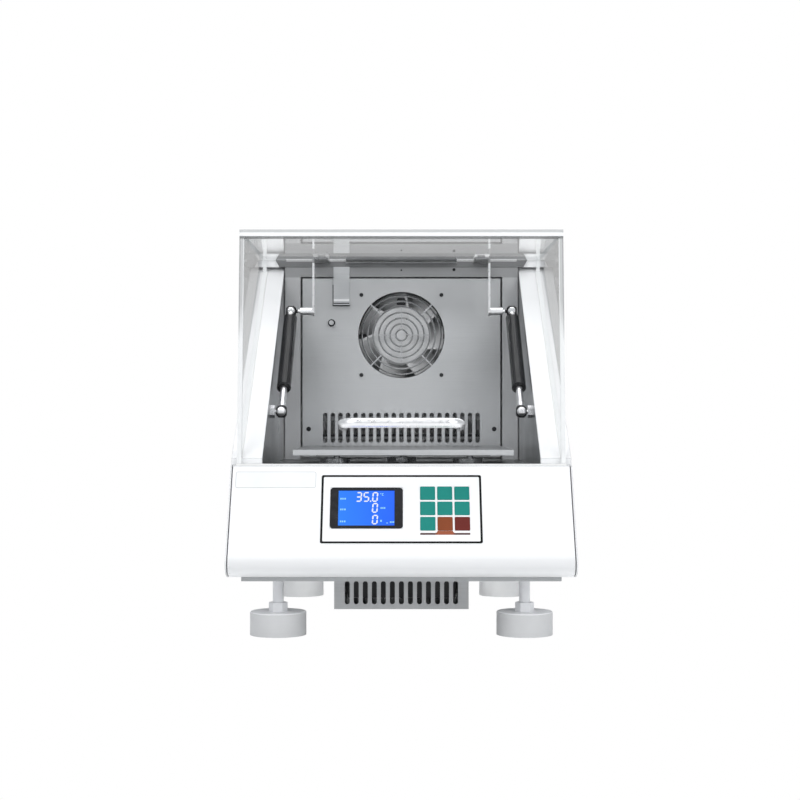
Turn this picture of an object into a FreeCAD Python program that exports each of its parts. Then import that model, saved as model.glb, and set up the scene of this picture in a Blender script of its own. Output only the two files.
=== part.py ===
import FreeCAD, Part
import math
import os

import Sketcher

# Bench shaking incubator with a clear wedge lid, in millimetres.
# X runs to the right of the front view, Y to the back, Z up.
# The origin lies on the bench, under the middle of the outline.

doc = FreeCAD.newDocument("ShakingIncubator")
sheet = doc.addObject("Spreadsheet::Sheet", "Sizes")

DRIVING = (
    # Body
    ("body_width", 376, "over the side panels"),
    ("body_depth", 520, "front bulge of the console to the rear cover"),
    ("panel_sheet", 1.5, "painted steel sheet"),
    ("seam", 1.1, "dark joint between console and side panel"),
    ("plate_bottom", 63, "bench to the underside of the base plate"),
    ("plate_thickness", 4.5, "base plate"),
    ("plate_inset_x", 15.5, "base plate's edge inside the body's sides"),
    ("plate_inset_y", 20, "base plate's edge inside the body's ends"),
    ("flange_depth", 20, "folded edge that seats on the base plate"),
    # Levelling feet
    ("foot_diameter", 62, "round pad"),
    ("foot_height", 25.5, "round pad"),
    ("foot_inset_x", 36.5, "stud axes inside the base plate's sides"),
    ("foot_inset_y", 45, "stud axes inside the base plate's ends"),
    ("foot_edge", 0.8, "bevel of the pad's top rim"),
    ("stud_diameter", 12, "levelling stud"),
    ("stud_above", 24, "stud end above the base plate"),
    ("nut_flats", 18, "lock nut across flats"),
    ("nut_height", 10, "lock nut"),
    ("boss_diameter", 24, "threaded boss on the base plate"),
    ("boss_height", 12, "threaded boss on the base plate"),
    # Console
    ("console_top", 185, "bench to the console's top edge"),
    ("console_lean", 31, "degrees from upright"),
    ("console_under", 72, "degrees of the undercut's normal below level"),
    ("bend_radius", 12, "outside radius of the bottom bend"),
    ("bend_rise", 15.4, "bend centre above the base plate"),
    ("console_sheet", 2, "console skin"),
    ("front_rim_depth", 22.5, "flat rim behind the console's top edge"),
    ("front_rim_sheet", 1.5, "flat rim"),
    # Keypad and display, measured along the console's face
    ("panel_drop", 95.7, "console's top edge down to the overlay datum"),
    ("overlay_width", 176, "overlay film"),
    ("overlay_low", 0.9, "overlay film, lower edge"),
    ("overlay_high", 85.4, "overlay film, upper edge"),
    ("overlay_corner", 3, "overlay film's corner radius"),
    ("overlay_sheet", 0.8, "overlay film"),
    ("key_size", 16.3, "square key"),
    ("key_pitch", 18.65, "between key centres"),
    ("key_first_x", 28.5, "first column"),
    ("key_first_u", 25, "lowest row"),
    ("key_gap", 0.2, "around each key in its window"),
    ("key_lift", 0.4, "key's underside above the console skin"),
    ("key_thickness", 0.7, "key"),
    ("key_corner", 1.5, "key's corner radius"),
    ("bezel_width", 78.8, "display bezel"),
    ("bezel_height", 50, "display bezel"),
    ("bezel_thickness", 1.2, "display bezel"),
    ("bezel_corner", 4, "display bezel's corner radius"),
    ("display_x", -37.9, "display centre"),
    ("display_u", 44.2, "display centre"),
    ("window_width", 61, "visible display"),
    ("window_height", 43, "visible display"),
    ("glass_proud", 0.4, "display glass above the console skin"),
    ("fit_gap", 0.3, "gap between parts that only meet"),
    ("board_depth", 10.4, "console skin down to the control board"),
    ("board_thickness", 1.6, "control board"),
    ("board_width", 160, "control board"),
    ("board_height", 72, "control board"),
    # Chamber
    ("chamber_width", 308, "inside"),
    ("chamber_back", 138, "front face of the back panel, from the origin"),
    ("floor_drop", 1, "chamber floor below the console's top edge"),
    ("chamber_sheet", 1.5, "stainless sheet"),
    ("rim_slope", 35.4, "degrees of the sloped side rims"),
    ("rim_step", 7.7, "start of the side rims above the front rim"),
    ("back_panel_width", 259.4, "removable back panel"),
    ("back_panel_top", 421, "bench to its upper edge"),
    ("panel_gap", 2.7, "dark line beside and below the back panel"),
    ("panel_top_gap", 2.2, "dark line above the back panel"),
    ("corner_gap", 1.3, "dark line between the back frame and the side walls"),
    ("fan_centre", 347, "bench to the fan axis"),
    ("fan_opening", 113.2, "opening in the back panel"),
    ("slot_width", 5.8, "back panel slots"),
    ("slot_rise", 21.6, "back panel slots above the chamber floor"),
    ("slot_length", 39.4, "back panel slots"),
    ("slot_pitch", 10, "back panel slots"),
    ("slot_count", 21, "back panel slots"),
    # Rear cover
    ("cover_top", 445, "bench to the rear cover's top"),
    ("cover_depth", 9, "height of its folded edge"),
    ("cover_front", 140, "its front edge, from the origin"),
    ("lip_half_width", 165, "dark lip under the lid's rear edge"),
    ("lip_mitre", 5, "slant of the lip's ends"),
    ("lip_thickness", 3, "dark lip"),
    # Lid
    ("lid_width", 363, "clear lid"),
    ("lid_sheet", 5, "acrylic sheet"),
    ("lid_inset", 2.7, "front sheet behind the console's top edge"),
    ("lid_lean", 6.5, "degrees the front sheet leans back"),
    ("lid_rear_gap", 3.5, "rear edge in front of the rear cover"),
    ("seal_thickness", 1.5, "seal strip on the rims"),
    ("seal_width", 6, "seal strip on the rims"),
    ("lid_gap", 0.2, "lid above its seal"),
    ("handle_length", 140, "lid handle, overall"),
    ("handle_bar", 11, "lid handle's bar"),
    ("handle_reach", 35, "lid handle, off the front sheet"),
    ("handle_bend", 14, "lid handle's centre-line radius"),
    ("handle_height", 230, "bench to the handle's axis"),
    # Hinge
    ("hinge_width", 144, "hinge leaves"),
    ("hinge_rise", 1, "pin axis above the rear cover"),
    ("hinge_reach", 1, "pin axis behind the cover's front edge"),
    ("knuckle_diameter", 6, "hinge knuckles"),
    ("hinge_pin", 3, "pin diameter"),
    ("pin_play", 0.05, "running fit, on the radius"),
    ("leaf_sheet", 2, "hinge leaf"),
    ("leaf_depth", 24, "hinge leaf"),
    # Gas struts
    ("strut_x", 141, "strut plane from the middle"),
    ("strut_low_y", -80, "lower ball"),
    ("strut_low_z", 246, "lower ball"),
    ("strut_high_y", 84, "upper ball"),
    ("strut_high_z", 374.5, "upper ball"),
    ("ball_diameter", 9, "ball studs"),
    ("socket_diameter", 14.4, "strut end sockets"),
    ("eye_width", 12.4, "strut end sockets, along the stud"),
    ("eye_bevel", 2.6, "bevels of the strut end sockets"),
    ("rod_diameter", 8, "piston rod"),
    ("tube_diameter", 17, "strut tube"),
    ("tube_start", 45, "tube's lower end from the lower ball"),
    ("tube_end", 13.7, "tube's upper end before the upper ball"),
    ("rod_end", 24, "rod's inner end before the upper ball"),
    ("bracket_x", 111, "inner face of the lid bracket's arm"),
    ("bracket_sheet", 2.5, "lid bracket"),
    ("bracket_flange", 17, "lid bracket's flange, across"),
    ("bracket_depth", 57, "lid bracket's flange, front to back"),
    ("bracket_spacer", 2, "washer between bracket and lid"),
    ("arm_width", 12, "lid bracket's arm"),
    ("standoff_diameter", 9.6, "upper ball stud's body"),
    ("stud_neck", 4.5, "neck of the ball studs"),
    ("stud_hex", 13, "lower ball stud across flats"),
    # Shaking drive
    ("orbit_radius", 10, "shaking orbit"),
    ("orbit_phase", -77, "degrees of the crank at rest"),
    ("crank_y", -15, "main shaft axis"),
    ("platform_size", 250, "square platform"),
    ("platform_rise", 18.5, "platform's top above the chamber floor"),
    ("platform_sheet", 1.5, "platform tray"),
    ("platform_edge", 6.2, "height of its folded edge"),
    ("hole_diameter", 5, "holes for flask clamps"),
    ("hole_pitch", 62, "holes for flask clamps"),
    ("hole_count", 4, "holes for flask clamps, along each side"),
    ("carrier_size", 200, "plate under the platform"),
    ("carrier_thickness", 6, "plate under the platform"),
    ("pin_diameter", 8, "eccentric pins"),
    ("shaft_diameter", 15, "main shaft"),
    ("disc_diameter", 36, "eccentric discs"),
    ("disc_thickness", 5.5, "eccentric discs"),
    ("disc_gap", 1.5, "discs above the floor"),
    ("housing_diameter", 60, "main bearing housing"),
    ("housing_height", 30, "main bearing housing"),
    ("idler_x", 78, "idler axes from the middle"),
    ("idler_y", -75, "idler axes"),
    ("idler_housing", 32, "idler bearing housing"),
    ("idler_height", 22, "idler bearing housing"),
    ("idler_shaft", 10, "idler shaft"),
    ("pulley_diameter", 100, "driven pulley"),
    ("pulley_height", 14, "both pulleys"),
    ("drive_gap", 5.7, "bearing housing above the counterweight"),
    ("motor_pulley", 32, "motor pulley"),
    ("motor_x", 70, "motor axis"),
    ("motor_y", 75, "motor axis"),
    ("motor_diameter", 90, "drive motor"),
    ("motor_gap", 4, "pulleys above the motor's boss"),
    ("motor_boss", 4, "boss round the motor's shaft, height"),
    ("motor_boss_diameter", 28, "boss round the motor's shaft"),
    ("motor_shaft", 8, "drive motor's shaft"),
    ("belt_thickness", 2, "flat belt"),
    ("belt_height", 10, "flat belt"),
    ("weight_radius", 44, "counterweight"),
    ("weight_height", 9, "counterweight"),
    # Heater
    ("heater_width", 230, "behind the slots, across"),
    ("heater_height", 48, "end plates"),
    ("heater_depth", 34, "end plates"),
    ("heater_bar", 12, "heating bars above and below the middle"),
    ("heater_fins", 15, "fins across the bars"),
    # Fans
    ("fan_size", 120, "square fan frame"),
    ("fan_depth", 38, "circulation fan frame"),
    ("fan_bore", 114, "bore of both fan frames"),
    ("fan_pitch", 105, "fan screw pitch"),
    ("hub_diameter", 78, "fan hub"),
    ("blade_play", 1.5, "blade tips inside the bore"),
    ("blade_count", 7, "blades"),
    ("blade_angle", 38, "degrees of blade pitch"),
    ("blade_thickness", 2, "blades"),
    ("guard_wire", 2.2, "wire of the fan guard"),
    ("guard_pitch", 7.4, "between guard rings"),
    ("guard_rings", 7, "rings of the fan guard"),
    ("guard_inner", 5, "rings held by the inner spokes"),
    ("guard_eye", 9, "eyelets at the guard's feet"),
    ("exhaust_depth", 25, "flat fan under the base plate"),
    # Vent box
    ("vent_width", 149, "vent box"),
    ("vent_length", 148, "vent box, front to back"),
    ("vent_inset", 70, "vent box behind the body's front end"),
    ("vent_height", 36, "vent box"),
    ("vent_slot", 5.5, "vent slots"),
    ("vent_pitch", 10, "vent slots"),
    ("vent_count", 13, "vent slots"),
    ("vent_sill", 5.4, "slots above the vent box's bottom"),
    ("vent_head", 5, "slots below the base plate"),
    # Rear services
    ("inlet_x", -110, "power inlet"),
    ("inlet_z", 110, "power inlet"),
    ("inlet_width", 30, "power inlet's flange"),
    ("inlet_height", 48, "power inlet's flange"),
    ("inlet_sheet", 2, "power inlet's flange, and how far the rear panel is set in"),
    ("socket_width", 24, "power inlet's recess"),
    ("socket_height", 16, "power inlet's recess"),
    ("socket_depth", 18, "power inlet's recess"),
    ("rocker_width", 19, "mains rocker"),
    ("rocker_height", 13, "mains rocker"),
    ("rocker_tilt", 14, "degrees between the rocker's two faces"),
    ("rocker_depth", 1, "rocker's axle behind the rear panel"),
    ("rocker_face", 1.5, "rocker's face in front of its axle"),
    ("rocker_pin", 2, "rocker's axle"),
)


class Size:
    """A size as a number, for the first geometry, and as a formula of the sheet, for the binding."""

    def __init__(self, number, text):
        self.number = float(number)
        self.text = text

    def __add__(self, other):
        other = as_size(other)
        return Size(self.number + other.number, f"({self.text} + {other.text})")

    def __sub__(self, other):
        other = as_size(other)
        return Size(self.number - other.number, f"({self.text} - {other.text})")

    def __mul__(self, other):
        other = as_size(other)
        return Size(self.number * other.number, f"({self.text} * {other.text})")

    def __truediv__(self, other):
        other = as_size(other)
        return Size(self.number / other.number, f"({self.text} / {other.text})")

    def __radd__(self, other):
        return as_size(other) + self

    def __rsub__(self, other):
        return as_size(other) - self

    def __rmul__(self, other):
        return as_size(other) * self

    def __rtruediv__(self, other):
        return as_size(other) / self

    def __neg__(self):
        return Size(-self.number, f"(0 - {self.text})")


def as_size(value):
    return value if isinstance(value, Size) else Size(value, f"({value})")


def sine(angle):
    return Size(math.sin(math.radians(angle.number)), f"sin({angle.text})")


def cosine(angle):
    return Size(math.cos(math.radians(angle.number)), f"cos({angle.text})")


def tangent(angle):
    return Size(math.tan(math.radians(angle.number)), f"tan({angle.text})")


def root(value):
    return Size(math.sqrt(value.number), f"sqrt({value.text})")


def arc_tangent(rise, run):
    angle = math.degrees(math.atan(rise.number / run.number))
    return Size(angle, f"(atan({rise.text} / {run.text}) / 1deg)")


class Names:
    """Holds one Size for each alias of the sheet."""


s = Names()
for row, (alias, amount, note) in enumerate(DRIVING, start=1):
    sheet.set(f"A{row}", alias)
    sheet.set(f"B{row}", str(amount))
    sheet.set(f"C{row}", note)
    sheet.setAlias(f"B{row}", alias)
    setattr(s, alias, Size(amount, f"Sizes.{alias}"))
doc.recompute()

nodes = []


def bind(thing, path, value):
    thing.setExpression(path, as_size(value).text)


def place(thing, x, y, z):
    base = FreeCAD.Vector(as_size(x).number, as_size(y).number, as_size(z).number)
    thing.Placement = FreeCAD.Placement(base, thing.Placement.Rotation)
    bind(thing, "Placement.Base.x", x)
    bind(thing, "Placement.Base.y", y)
    bind(thing, "Placement.Base.z", z)
    return thing


def turn(thing, axis, angle):
    angle = as_size(angle)
    rotation = FreeCAD.Rotation(FreeCAD.Vector(*axis), angle.number)
    thing.Placement = FreeCAD.Placement(thing.Placement.Base, rotation)
    if abs(angle.number) > 0:
        bind(thing, "Placement.Rotation.Angle", angle)
    return thing


def box(x0, x1, y0, y1, z0, z1):
    block = doc.addObject("Part::Box", "block")
    bind(block, "Length", x1 - x0)
    bind(block, "Width", y1 - y0)
    bind(block, "Height", z1 - z0)
    return place(block, x0, y0, z0)


TURNS = {"X": ((0, 1, 0), 90), "Y": ((1, 0, 0), -90), "Z": ((0, 0, 1), 0)}


def rod(axis, x, y, z, radius, length):
    """A round bar from x, y, z along the positive axis."""
    bar = doc.addObject("Part::Cylinder", "bar")
    bind(bar, "Radius", radius)
    bind(bar, "Height", length)
    direction, angle = TURNS[axis]
    bar.Placement = FreeCAD.Placement(FreeCAD.Vector(), FreeCAD.Rotation(FreeCAD.Vector(*direction), angle))
    return place(bar, x, y, z)


def ball(x, y, z, radius):
    """A ball whose poles lie along X, where its neck joins."""
    sphere = doc.addObject("Part::Sphere", "ball")
    bind(sphere, "Radius", radius)
    direction, angle = TURNS["X"]
    sphere.Placement = FreeCAD.Placement(FreeCAD.Vector(), FreeCAD.Rotation(FreeCAD.Vector(*direction), angle))
    return place(sphere, x, y, z)


def hexagon(axis, x, y, z, flats, length):
    bar = doc.addObject("Part::Prism", "hexagon")
    bar.Polygon = 6
    bind(bar, "Circumradius", flats / root(as_size(3)))
    bind(bar, "Height", length)
    direction, angle = TURNS[axis]
    bar.Placement = FreeCAD.Placement(FreeCAD.Vector(), FreeCAD.Rotation(FreeCAD.Vector(*direction), angle))
    return place(bar, x, y, z)


def fuse(*shapes):
    joined = doc.addObject("Part::MultiFuse", "joined")
    joined.Shapes = list(shapes)
    joined.Refine = True
    return joined


def cut(base, *tools):
    result = doc.addObject("Part::Cut", "cut")
    result.Base = base
    result.Tool = tools[0] if len(tools) == 1 else fuse(*tools)
    return result


def common(first, second):
    result = doc.addObject("Part::MultiCommon", "shared")
    result.Shapes = [first, second]
    return result


def group(*shapes):
    together = doc.addObject("Part::Compound", "group")
    together.Links = list(shapes)
    return together


def node(name, thing):
    thing.Label = name
    nodes.append(thing)
    return thing


# Sketch helpers

def draw_polygon(sketch, points):
    first = sketch.GeometryCount
    count = len(points)
    points = [(as_size(a), as_size(b)) for a, b in points]
    for index in range(count):
        a = points[index]
        b = points[(index + 1) % count]
        start = FreeCAD.Vector(a[0].number, a[1].number, 0)
        end = FreeCAD.Vector(b[0].number, b[1].number, 0)
        sketch.addGeometry(Part.LineSegment(start, end), False)
    for index in range(count):
        following = first + (index + 1) % count
        sketch.addConstraint(Sketcher.Constraint("Coincident", first + index, 2, following, 1))
    for index, (a, b) in enumerate(points):
        for kind, value in (("DistanceX", a), ("DistanceY", b)):
            rule = Sketcher.Constraint(kind, -1, 1, first + index, 1, value.number)
            number = sketch.addConstraint(rule)
            sketch.setExpression(f"Constraints[{number}]", value.text)


def draw_rectangle(sketch, a0, a1, b0, b1):
    draw_polygon(sketch, [(a0, b0), (a1, b0), (a1, b1), (a0, b1)])


def draw_circle(sketch, a, b, radius):
    a, b, radius = as_size(a), as_size(b), as_size(radius)
    centre = FreeCAD.Vector(a.number, b.number, 0)
    circle = Part.Circle(centre, FreeCAD.Vector(0, 0, 1), radius.number)
    index = sketch.addGeometry(circle, False)
    for kind, value in (("DistanceX", a), ("DistanceY", b)):
        number = sketch.addConstraint(Sketcher.Constraint(kind, -1, 1, index, 3, value.number))
        sketch.setExpression(f"Constraints[{number}]", value.text)
    number = sketch.addConstraint(Sketcher.Constraint("Radius", index, radius.number))
    sketch.setExpression(f"Constraints[{number}]", radius.text)


def draw_slot(sketch, a, b0, b1, width):
    """An upright slot with round ends, its middle line at a."""
    radius = width / 2
    start = sketch.GeometryCount
    a, b0, b1, radius = as_size(a), as_size(b0), as_size(b1), as_size(radius)
    low, high = b0 + radius, b1 - radius
    up = FreeCAD.Vector(0, 0, 1)
    bottom = Part.Circle(FreeCAD.Vector(a.number, low.number, 0), up, radius.number)
    top = Part.Circle(FreeCAD.Vector(a.number, high.number, 0), up, radius.number)
    x0, x1 = (a - radius).number, (a + radius).number
    sketch.addGeometry(Part.ArcOfCircle(bottom, math.pi, 2 * math.pi), False)
    sketch.addGeometry(Part.LineSegment(
        FreeCAD.Vector(x1, low.number, 0), FreeCAD.Vector(x1, high.number, 0)), False)
    sketch.addGeometry(Part.ArcOfCircle(top, 0, math.pi), False)
    sketch.addGeometry(Part.LineSegment(
        FreeCAD.Vector(x0, high.number, 0), FreeCAD.Vector(x0, low.number, 0)), False)
    for first, end, second, begin in ((0, 2, 1, 1), (1, 2, 2, 1), (2, 2, 3, 1), (3, 2, 0, 1)):
        sketch.addConstraint(Sketcher.Constraint("Tangent", start + first, end, start + second, begin))
    sketch.addConstraint(Sketcher.Constraint("Vertical", start + 1))
    for kind, arc, value in (("DistanceX", 0, a), ("DistanceY", 0, low), ("DistanceY", 2, high)):
        number = sketch.addConstraint(Sketcher.Constraint(kind, -1, 1, start + arc, 3, value.number))
        sketch.setExpression(f"Constraints[{number}]", value.text)
    number = sketch.addConstraint(Sketcher.Constraint("Radius", start, radius.number))
    sketch.setExpression(f"Constraints[{number}]", radius.text)


def new_body(name):
    return doc.addObject("PartDesign::Body", name)


def new_sketch(body, plane, offset):
    sketch = body.newObject("Sketcher::SketchObject", "profile")
    origin_plane = [item for item in body.Origin.OriginFeatures if item.Role == plane][0]
    sketch.AttachmentSupport = [(origin_plane, "")]
    sketch.MapMode = "FlatFace"
    bind(sketch, "AttachmentOffset.Base.z", offset)
    return sketch


def pad(body, sketch, length):
    feature = body.newObject("PartDesign::Pad", "pad")
    feature.Profile = sketch
    bind(feature, "Length", length)
    sketch.Visibility = False
    return feature


def pocket(body, sketch, length, reverse=False):
    feature = body.newObject("PartDesign::Pocket", "pocket")
    feature.Profile = sketch
    bind(feature, "Length", length)
    feature.Reversed = reverse
    return feature


def row_of(body, feature, sketch, pitch, count):
    pattern = body.newObject("PartDesign::LinearPattern", "row")
    pattern.Originals = [feature]
    pattern.Direction = (sketch, ["H_Axis"])
    bind(pattern, "Length", pitch * (count - 1))
    bind(pattern, "Occurrences", count)
    body.Tip = pattern
    return pattern


def ring_of(body, feature, sketch, count):
    pattern = body.newObject("PartDesign::PolarPattern", "ring")
    pattern.Originals = [feature]
    pattern.Axis = (sketch, ["N_Axis"])
    pattern.Angle = 360
    bind(pattern, "Occurrences", count)
    body.Tip = pattern
    return pattern


def lathe(name, points):
    """A body turned about Z from radius and height pairs."""
    body = new_body(name)
    sketch = new_sketch(body, "XZ_Plane", 0)
    draw_polygon(sketch, points)
    feature = body.newObject("PartDesign::Revolution", "turned")
    feature.Profile = sketch
    feature.ReferenceAxis = (sketch, ["V_Axis"])
    feature.Angle = 360
    return body


def round_edges(body, feature, radius, wanted):
    """Fillets the edges of a feature that the test picks by their end points."""
    doc.recompute()
    names = []
    for index, edge in enumerate(feature.Shape.Edges, start=1):
        ends = [vertex.Point for vertex in edge.Vertexes]
        if len(ends) == 2 and wanted(ends[0], ends[1]):
            names.append(f"Edge{index}")
    fillet = body.newObject("PartDesign::Fillet", "fillet")
    fillet.Base = (feature, names)
    bind(fillet, "Radius", radius)
    return fillet


def near(point, first, second, axes, reach=0.05):
    """True where two coordinates of a point match a pair of sizes."""
    a = abs(point[axes[0]] - as_size(first).number)
    b = abs(point[axes[1]] - as_size(second).number)
    return a < reach and b < reach


def prism(name, points, x0, x1, rounds=()):
    """A side profile in Y and Z, as long as x0 to x1. Rounds are corner, radius pairs."""
    body = new_body(name)
    sketch = new_sketch(body, "YZ_Plane", x0)
    draw_polygon(sketch, points)
    feature = pad(body, sketch, x1 - x0)
    for corner, radius in rounds:
        feature = round_edges(
            body, feature, radius,
            lambda a, b: near(a, corner[0], corner[1], (1, 2)) and near(b, corner[0], corner[1], (1, 2)))
    return body


# Shared places

body_half = s.body_width / 2
skin_in = body_half - s.panel_sheet
front_y = -s.body_depth / 2
rear_y = s.body_depth / 2
panel_y = rear_y - s.inlet_sheet
plate_top = s.plate_bottom + s.plate_thickness
plate_half_x = s.body_width / 2 - s.plate_inset_x
plate_half_y = s.body_depth / 2 - s.plate_inset_y
chamber_half = s.chamber_width / 2
floor_height = s.console_top - s.floor_drop
floor_under = floor_height - s.chamber_sheet
platform_top = floor_height + s.platform_rise
slot_low = floor_height + s.slot_rise
slot_high = slot_low + s.slot_length
side_top = s.cover_top - s.cover_depth
lid_half = s.lid_width / 2

# Console outline: the face and the undercut both touch the bottom bend
bend_y = front_y + s.bend_radius
bend_z = plate_top + s.bend_rise
face_normal = (-cosine(s.console_lean), sine(s.console_lean))
under_normal = (-cosine(s.console_under), -sine(s.console_under))
down_normal = (as_size(0), as_size(-1))


def meet(normal_a, normal_b, distance_a, distance_b, y, z):
    """Where two lines cross that lie at given distances along their normals from a point."""
    cross = normal_a[0] * normal_b[1] - normal_a[1] * normal_b[0]
    along_y = (distance_a * normal_b[1] - distance_b * normal_a[1]) / cross
    along_z = (distance_b * normal_a[0] - distance_a * normal_b[0]) / cross
    return y + along_y, z + along_z


console_run = (s.console_top - bend_z - s.bend_radius * sine(s.console_lean)) / cosine(s.console_lean)
console_top_y = bend_y - s.bend_radius * cosine(s.console_lean) + console_run * sine(s.console_lean)
console_corner = meet(face_normal, under_normal, s.bend_radius, s.bend_radius, bend_y, bend_z)
inner_radius = s.bend_radius - s.console_sheet
console_corner_in = meet(face_normal, under_normal, inner_radius, inner_radius, bend_y, bend_z)
toe = meet(under_normal, down_normal, s.bend_radius, s.bend_rise, bend_y, bend_z)
toe_in = meet(under_normal, down_normal, inner_radius, s.bend_rise - s.console_sheet, bend_y, bend_z)

# Rims
front_rim_top = s.console_top + s.front_rim_sheet
lid_front_y = console_top_y + s.lid_inset
lid_front_z = front_rim_top + s.seal_thickness + s.lid_gap
lid_front_in = lid_front_y + s.lid_sheet / cosine(s.lid_lean)
rim_start_z = front_rim_top + s.rim_step
seal_end_z = rim_start_z + s.seal_thickness / cosine(s.rim_slope)
rim_start_y = lid_front_in + (seal_end_z - lid_front_z) * tangent(s.lid_lean) + s.fit_gap
rim_rise = tangent(s.rim_slope)
rim_end_y = rim_start_y + (side_top - rim_start_z) / rim_rise


def rim_height(y):
    return rim_start_z + (y - rim_start_y) * rim_rise


def tilted(thickness):
    """Height of a layer of this thickness that lies on the slope."""
    return thickness / cosine(s.rim_slope)


# Base plate with threaded bosses and the exhaust opening
foot_x = plate_half_x - s.foot_inset_x
foot_y = plate_half_y - s.foot_inset_y
FEET = (("front_left", -1, -1), ("front_right", 1, -1), ("rear_left", -1, 1), ("rear_right", 1, 1))
vent_front = front_y + s.vent_inset
exhaust_y = vent_front + s.vent_length / 2


def make_base_plate():
    plate = box(-plate_half_x, plate_half_x, -plate_half_y, plate_half_y,
                s.plate_bottom, plate_top)
    bosses = []
    holes = []
    for label, side, end in FEET:
        bosses.append(rod("Z", side * foot_x, end * foot_y, plate_top, s.boss_diameter / 2, s.boss_height))
        holes.append(rod("Z", side * foot_x, end * foot_y, s.plate_bottom,
                         s.stud_diameter / 2 + s.pin_play, s.plate_thickness + s.boss_height))
    holes.append(rod("Z", 0, exhaust_y, s.plate_bottom, s.fan_bore / 2, s.plate_thickness))
    node("base_plate", cut(fuse(plate, *bosses), *holes))


def make_feet():
    for label, side, end in FEET:
        radius = s.foot_diameter / 2
        bore = s.stud_diameter / 2 + s.pin_play
        blind = as_size(4)
        pad_body = lathe("foot_pad", [
            (0, 0), (radius, 0), (radius, s.foot_height - s.foot_edge),
            (radius - s.foot_edge, s.foot_height), (bore, s.foot_height), (bore, blind), (0, blind)])
        place(pad_body, side * foot_x, end * foot_y, 0)
        stud = rod("Z", side * foot_x, end * foot_y, blind, s.stud_diameter / 2,
                   plate_top + s.stud_above - blind)
        nut = cut(hexagon("Z", side * foot_x, end * foot_y, s.foot_height, s.nut_flats, s.nut_height),
                  rod("Z", side * foot_x, end * foot_y, s.foot_height, bore, s.nut_height))
        node(f"foot_{label}", group(pad_body, stud, nut))


# Console with its flat rim, display window and seat on the base plate

def on_face(thing, n=0):
    """Puts a thing drawn in the XY plane on the console's face, n above its skin."""
    turn(thing, (1, 0, 0), 90 - s.console_lean)
    y = console_top_y - s.panel_drop * sine(s.console_lean) + face_normal[0] * n
    z = s.console_top - s.panel_drop * cosine(s.console_lean) + face_normal[1] * n
    return place(thing, 0, y, z)


def plate_on_face(name, low, high, outline, windows=(), corner=None):
    body = new_body(name)
    sketch = new_sketch(body, "XY_Plane", low)
    draw_rectangle(sketch, *outline)
    for window in windows:
        draw_rectangle(sketch, *window)
    feature = pad(body, sketch, high - low)
    if corner is not None:
        spots = [(a, b) for a in outline[:2] for b in outline[2:]]
        round_edges(body, feature, corner, lambda a, b: abs(a.z - b.z) > 0.01 and any(
            near(a, spot[0], spot[1], (0, 1)) for spot in spots))
    return on_face(body)


window_x0 = s.display_x - s.window_width / 2
window_x1 = s.display_x + s.window_width / 2
window_u0 = s.display_u - s.window_height / 2
window_u1 = s.display_u + s.window_height / 2


def make_console():
    half = skin_in - s.seam
    t = s.console_sheet
    rim_back = console_top_y + s.front_rim_depth
    top_in = (console_top_y + t / cosine(s.console_lean), s.console_top)
    points = [
        (console_top_y, s.console_top), console_corner, toe,
        (toe[0] + s.flange_depth, plate_top), (toe[0] + s.flange_depth, plate_top + t),
        toe_in, console_corner_in, top_in,
        (rim_back, s.console_top), (rim_back, front_rim_top), (console_top_y, front_rim_top)]
    skin = prism("console_skin", points, -half, half,
                 [(console_corner, s.bend_radius), (console_corner_in, inner_radius)])
    opening = new_body("display_opening")
    sketch = new_sketch(opening, "XY_Plane", -2 * t)
    draw_rectangle(sketch, window_x0, window_x1, window_u0, window_u1)
    pad(opening, sketch, 4 * t)
    on_face(opening)
    node("front_console", cut(skin, opening))


def key_spots():
    for line in range(3):
        for column in range(3):
            x = s.key_first_x + s.key_pitch * column
            u = s.key_first_u + s.key_pitch * (2 - line)
            yield line * 3 + column + 1, x, u


def square(x, u, width, height):
    return x - width / 2, x + width / 2, u - height / 2, u + height / 2


def make_keypad():
    windows = [square(s.display_x, s.display_u, s.bezel_width + s.fit_gap, s.bezel_height + s.fit_gap)]
    open_key = s.key_size + 2 * s.key_gap
    windows += [square(x, u, open_key, open_key) for number, x, u in key_spots()]
    outline = (-s.overlay_width / 2, s.overlay_width / 2, s.overlay_low, s.overlay_high)
    overlay = plate_on_face("overlay", as_size(0), s.overlay_sheet, outline, windows, s.overlay_corner)
    node("key_overlay", overlay)
    for number, x, u in key_spots():
        top = s.key_lift + s.key_thickness
        key = plate_on_face("key", s.key_lift, top, square(x, u, s.key_size, s.key_size), (), s.key_corner)
        node(f"key_{number}", key)


def make_display():
    view = (window_x0, window_x1, window_u0, window_u1)
    frame = plate_on_face("bezel", as_size(0), s.bezel_thickness,
                          square(s.display_x, s.display_u, s.bezel_width, s.bezel_height), [view], s.bezel_corner)
    node("display_bezel", frame)
    glass = square(s.display_x, s.display_u, s.window_width - s.fit_gap, s.window_height - s.fit_gap)
    node("display_glass", plate_on_face("glass", -s.console_sheet, s.glass_proud, glass))
    board_top = -s.board_depth
    board_middle = (s.overlay_low + s.overlay_high) / 2
    board = plate_on_face("board", board_top - s.board_thickness, board_top,
                          square(as_size(0), board_middle, s.board_width, s.board_height))
    module = plate_on_face("module", board_top, -s.console_sheet,
                           square(s.display_x, s.display_u, s.bezel_width - 4, s.bezel_height - 4))
    keys = plate_on_face("key_switches", board_top, -s.console_sheet,
                         square(s.key_first_x + s.key_pitch, s.key_first_u + s.key_pitch,
                                3 * s.key_pitch, 3 * s.key_pitch))
    node("control_board", fuse(board, module, keys))


# Painted side panels, folded inwards as the sloped rims at the top and a seat at the bottom

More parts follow.
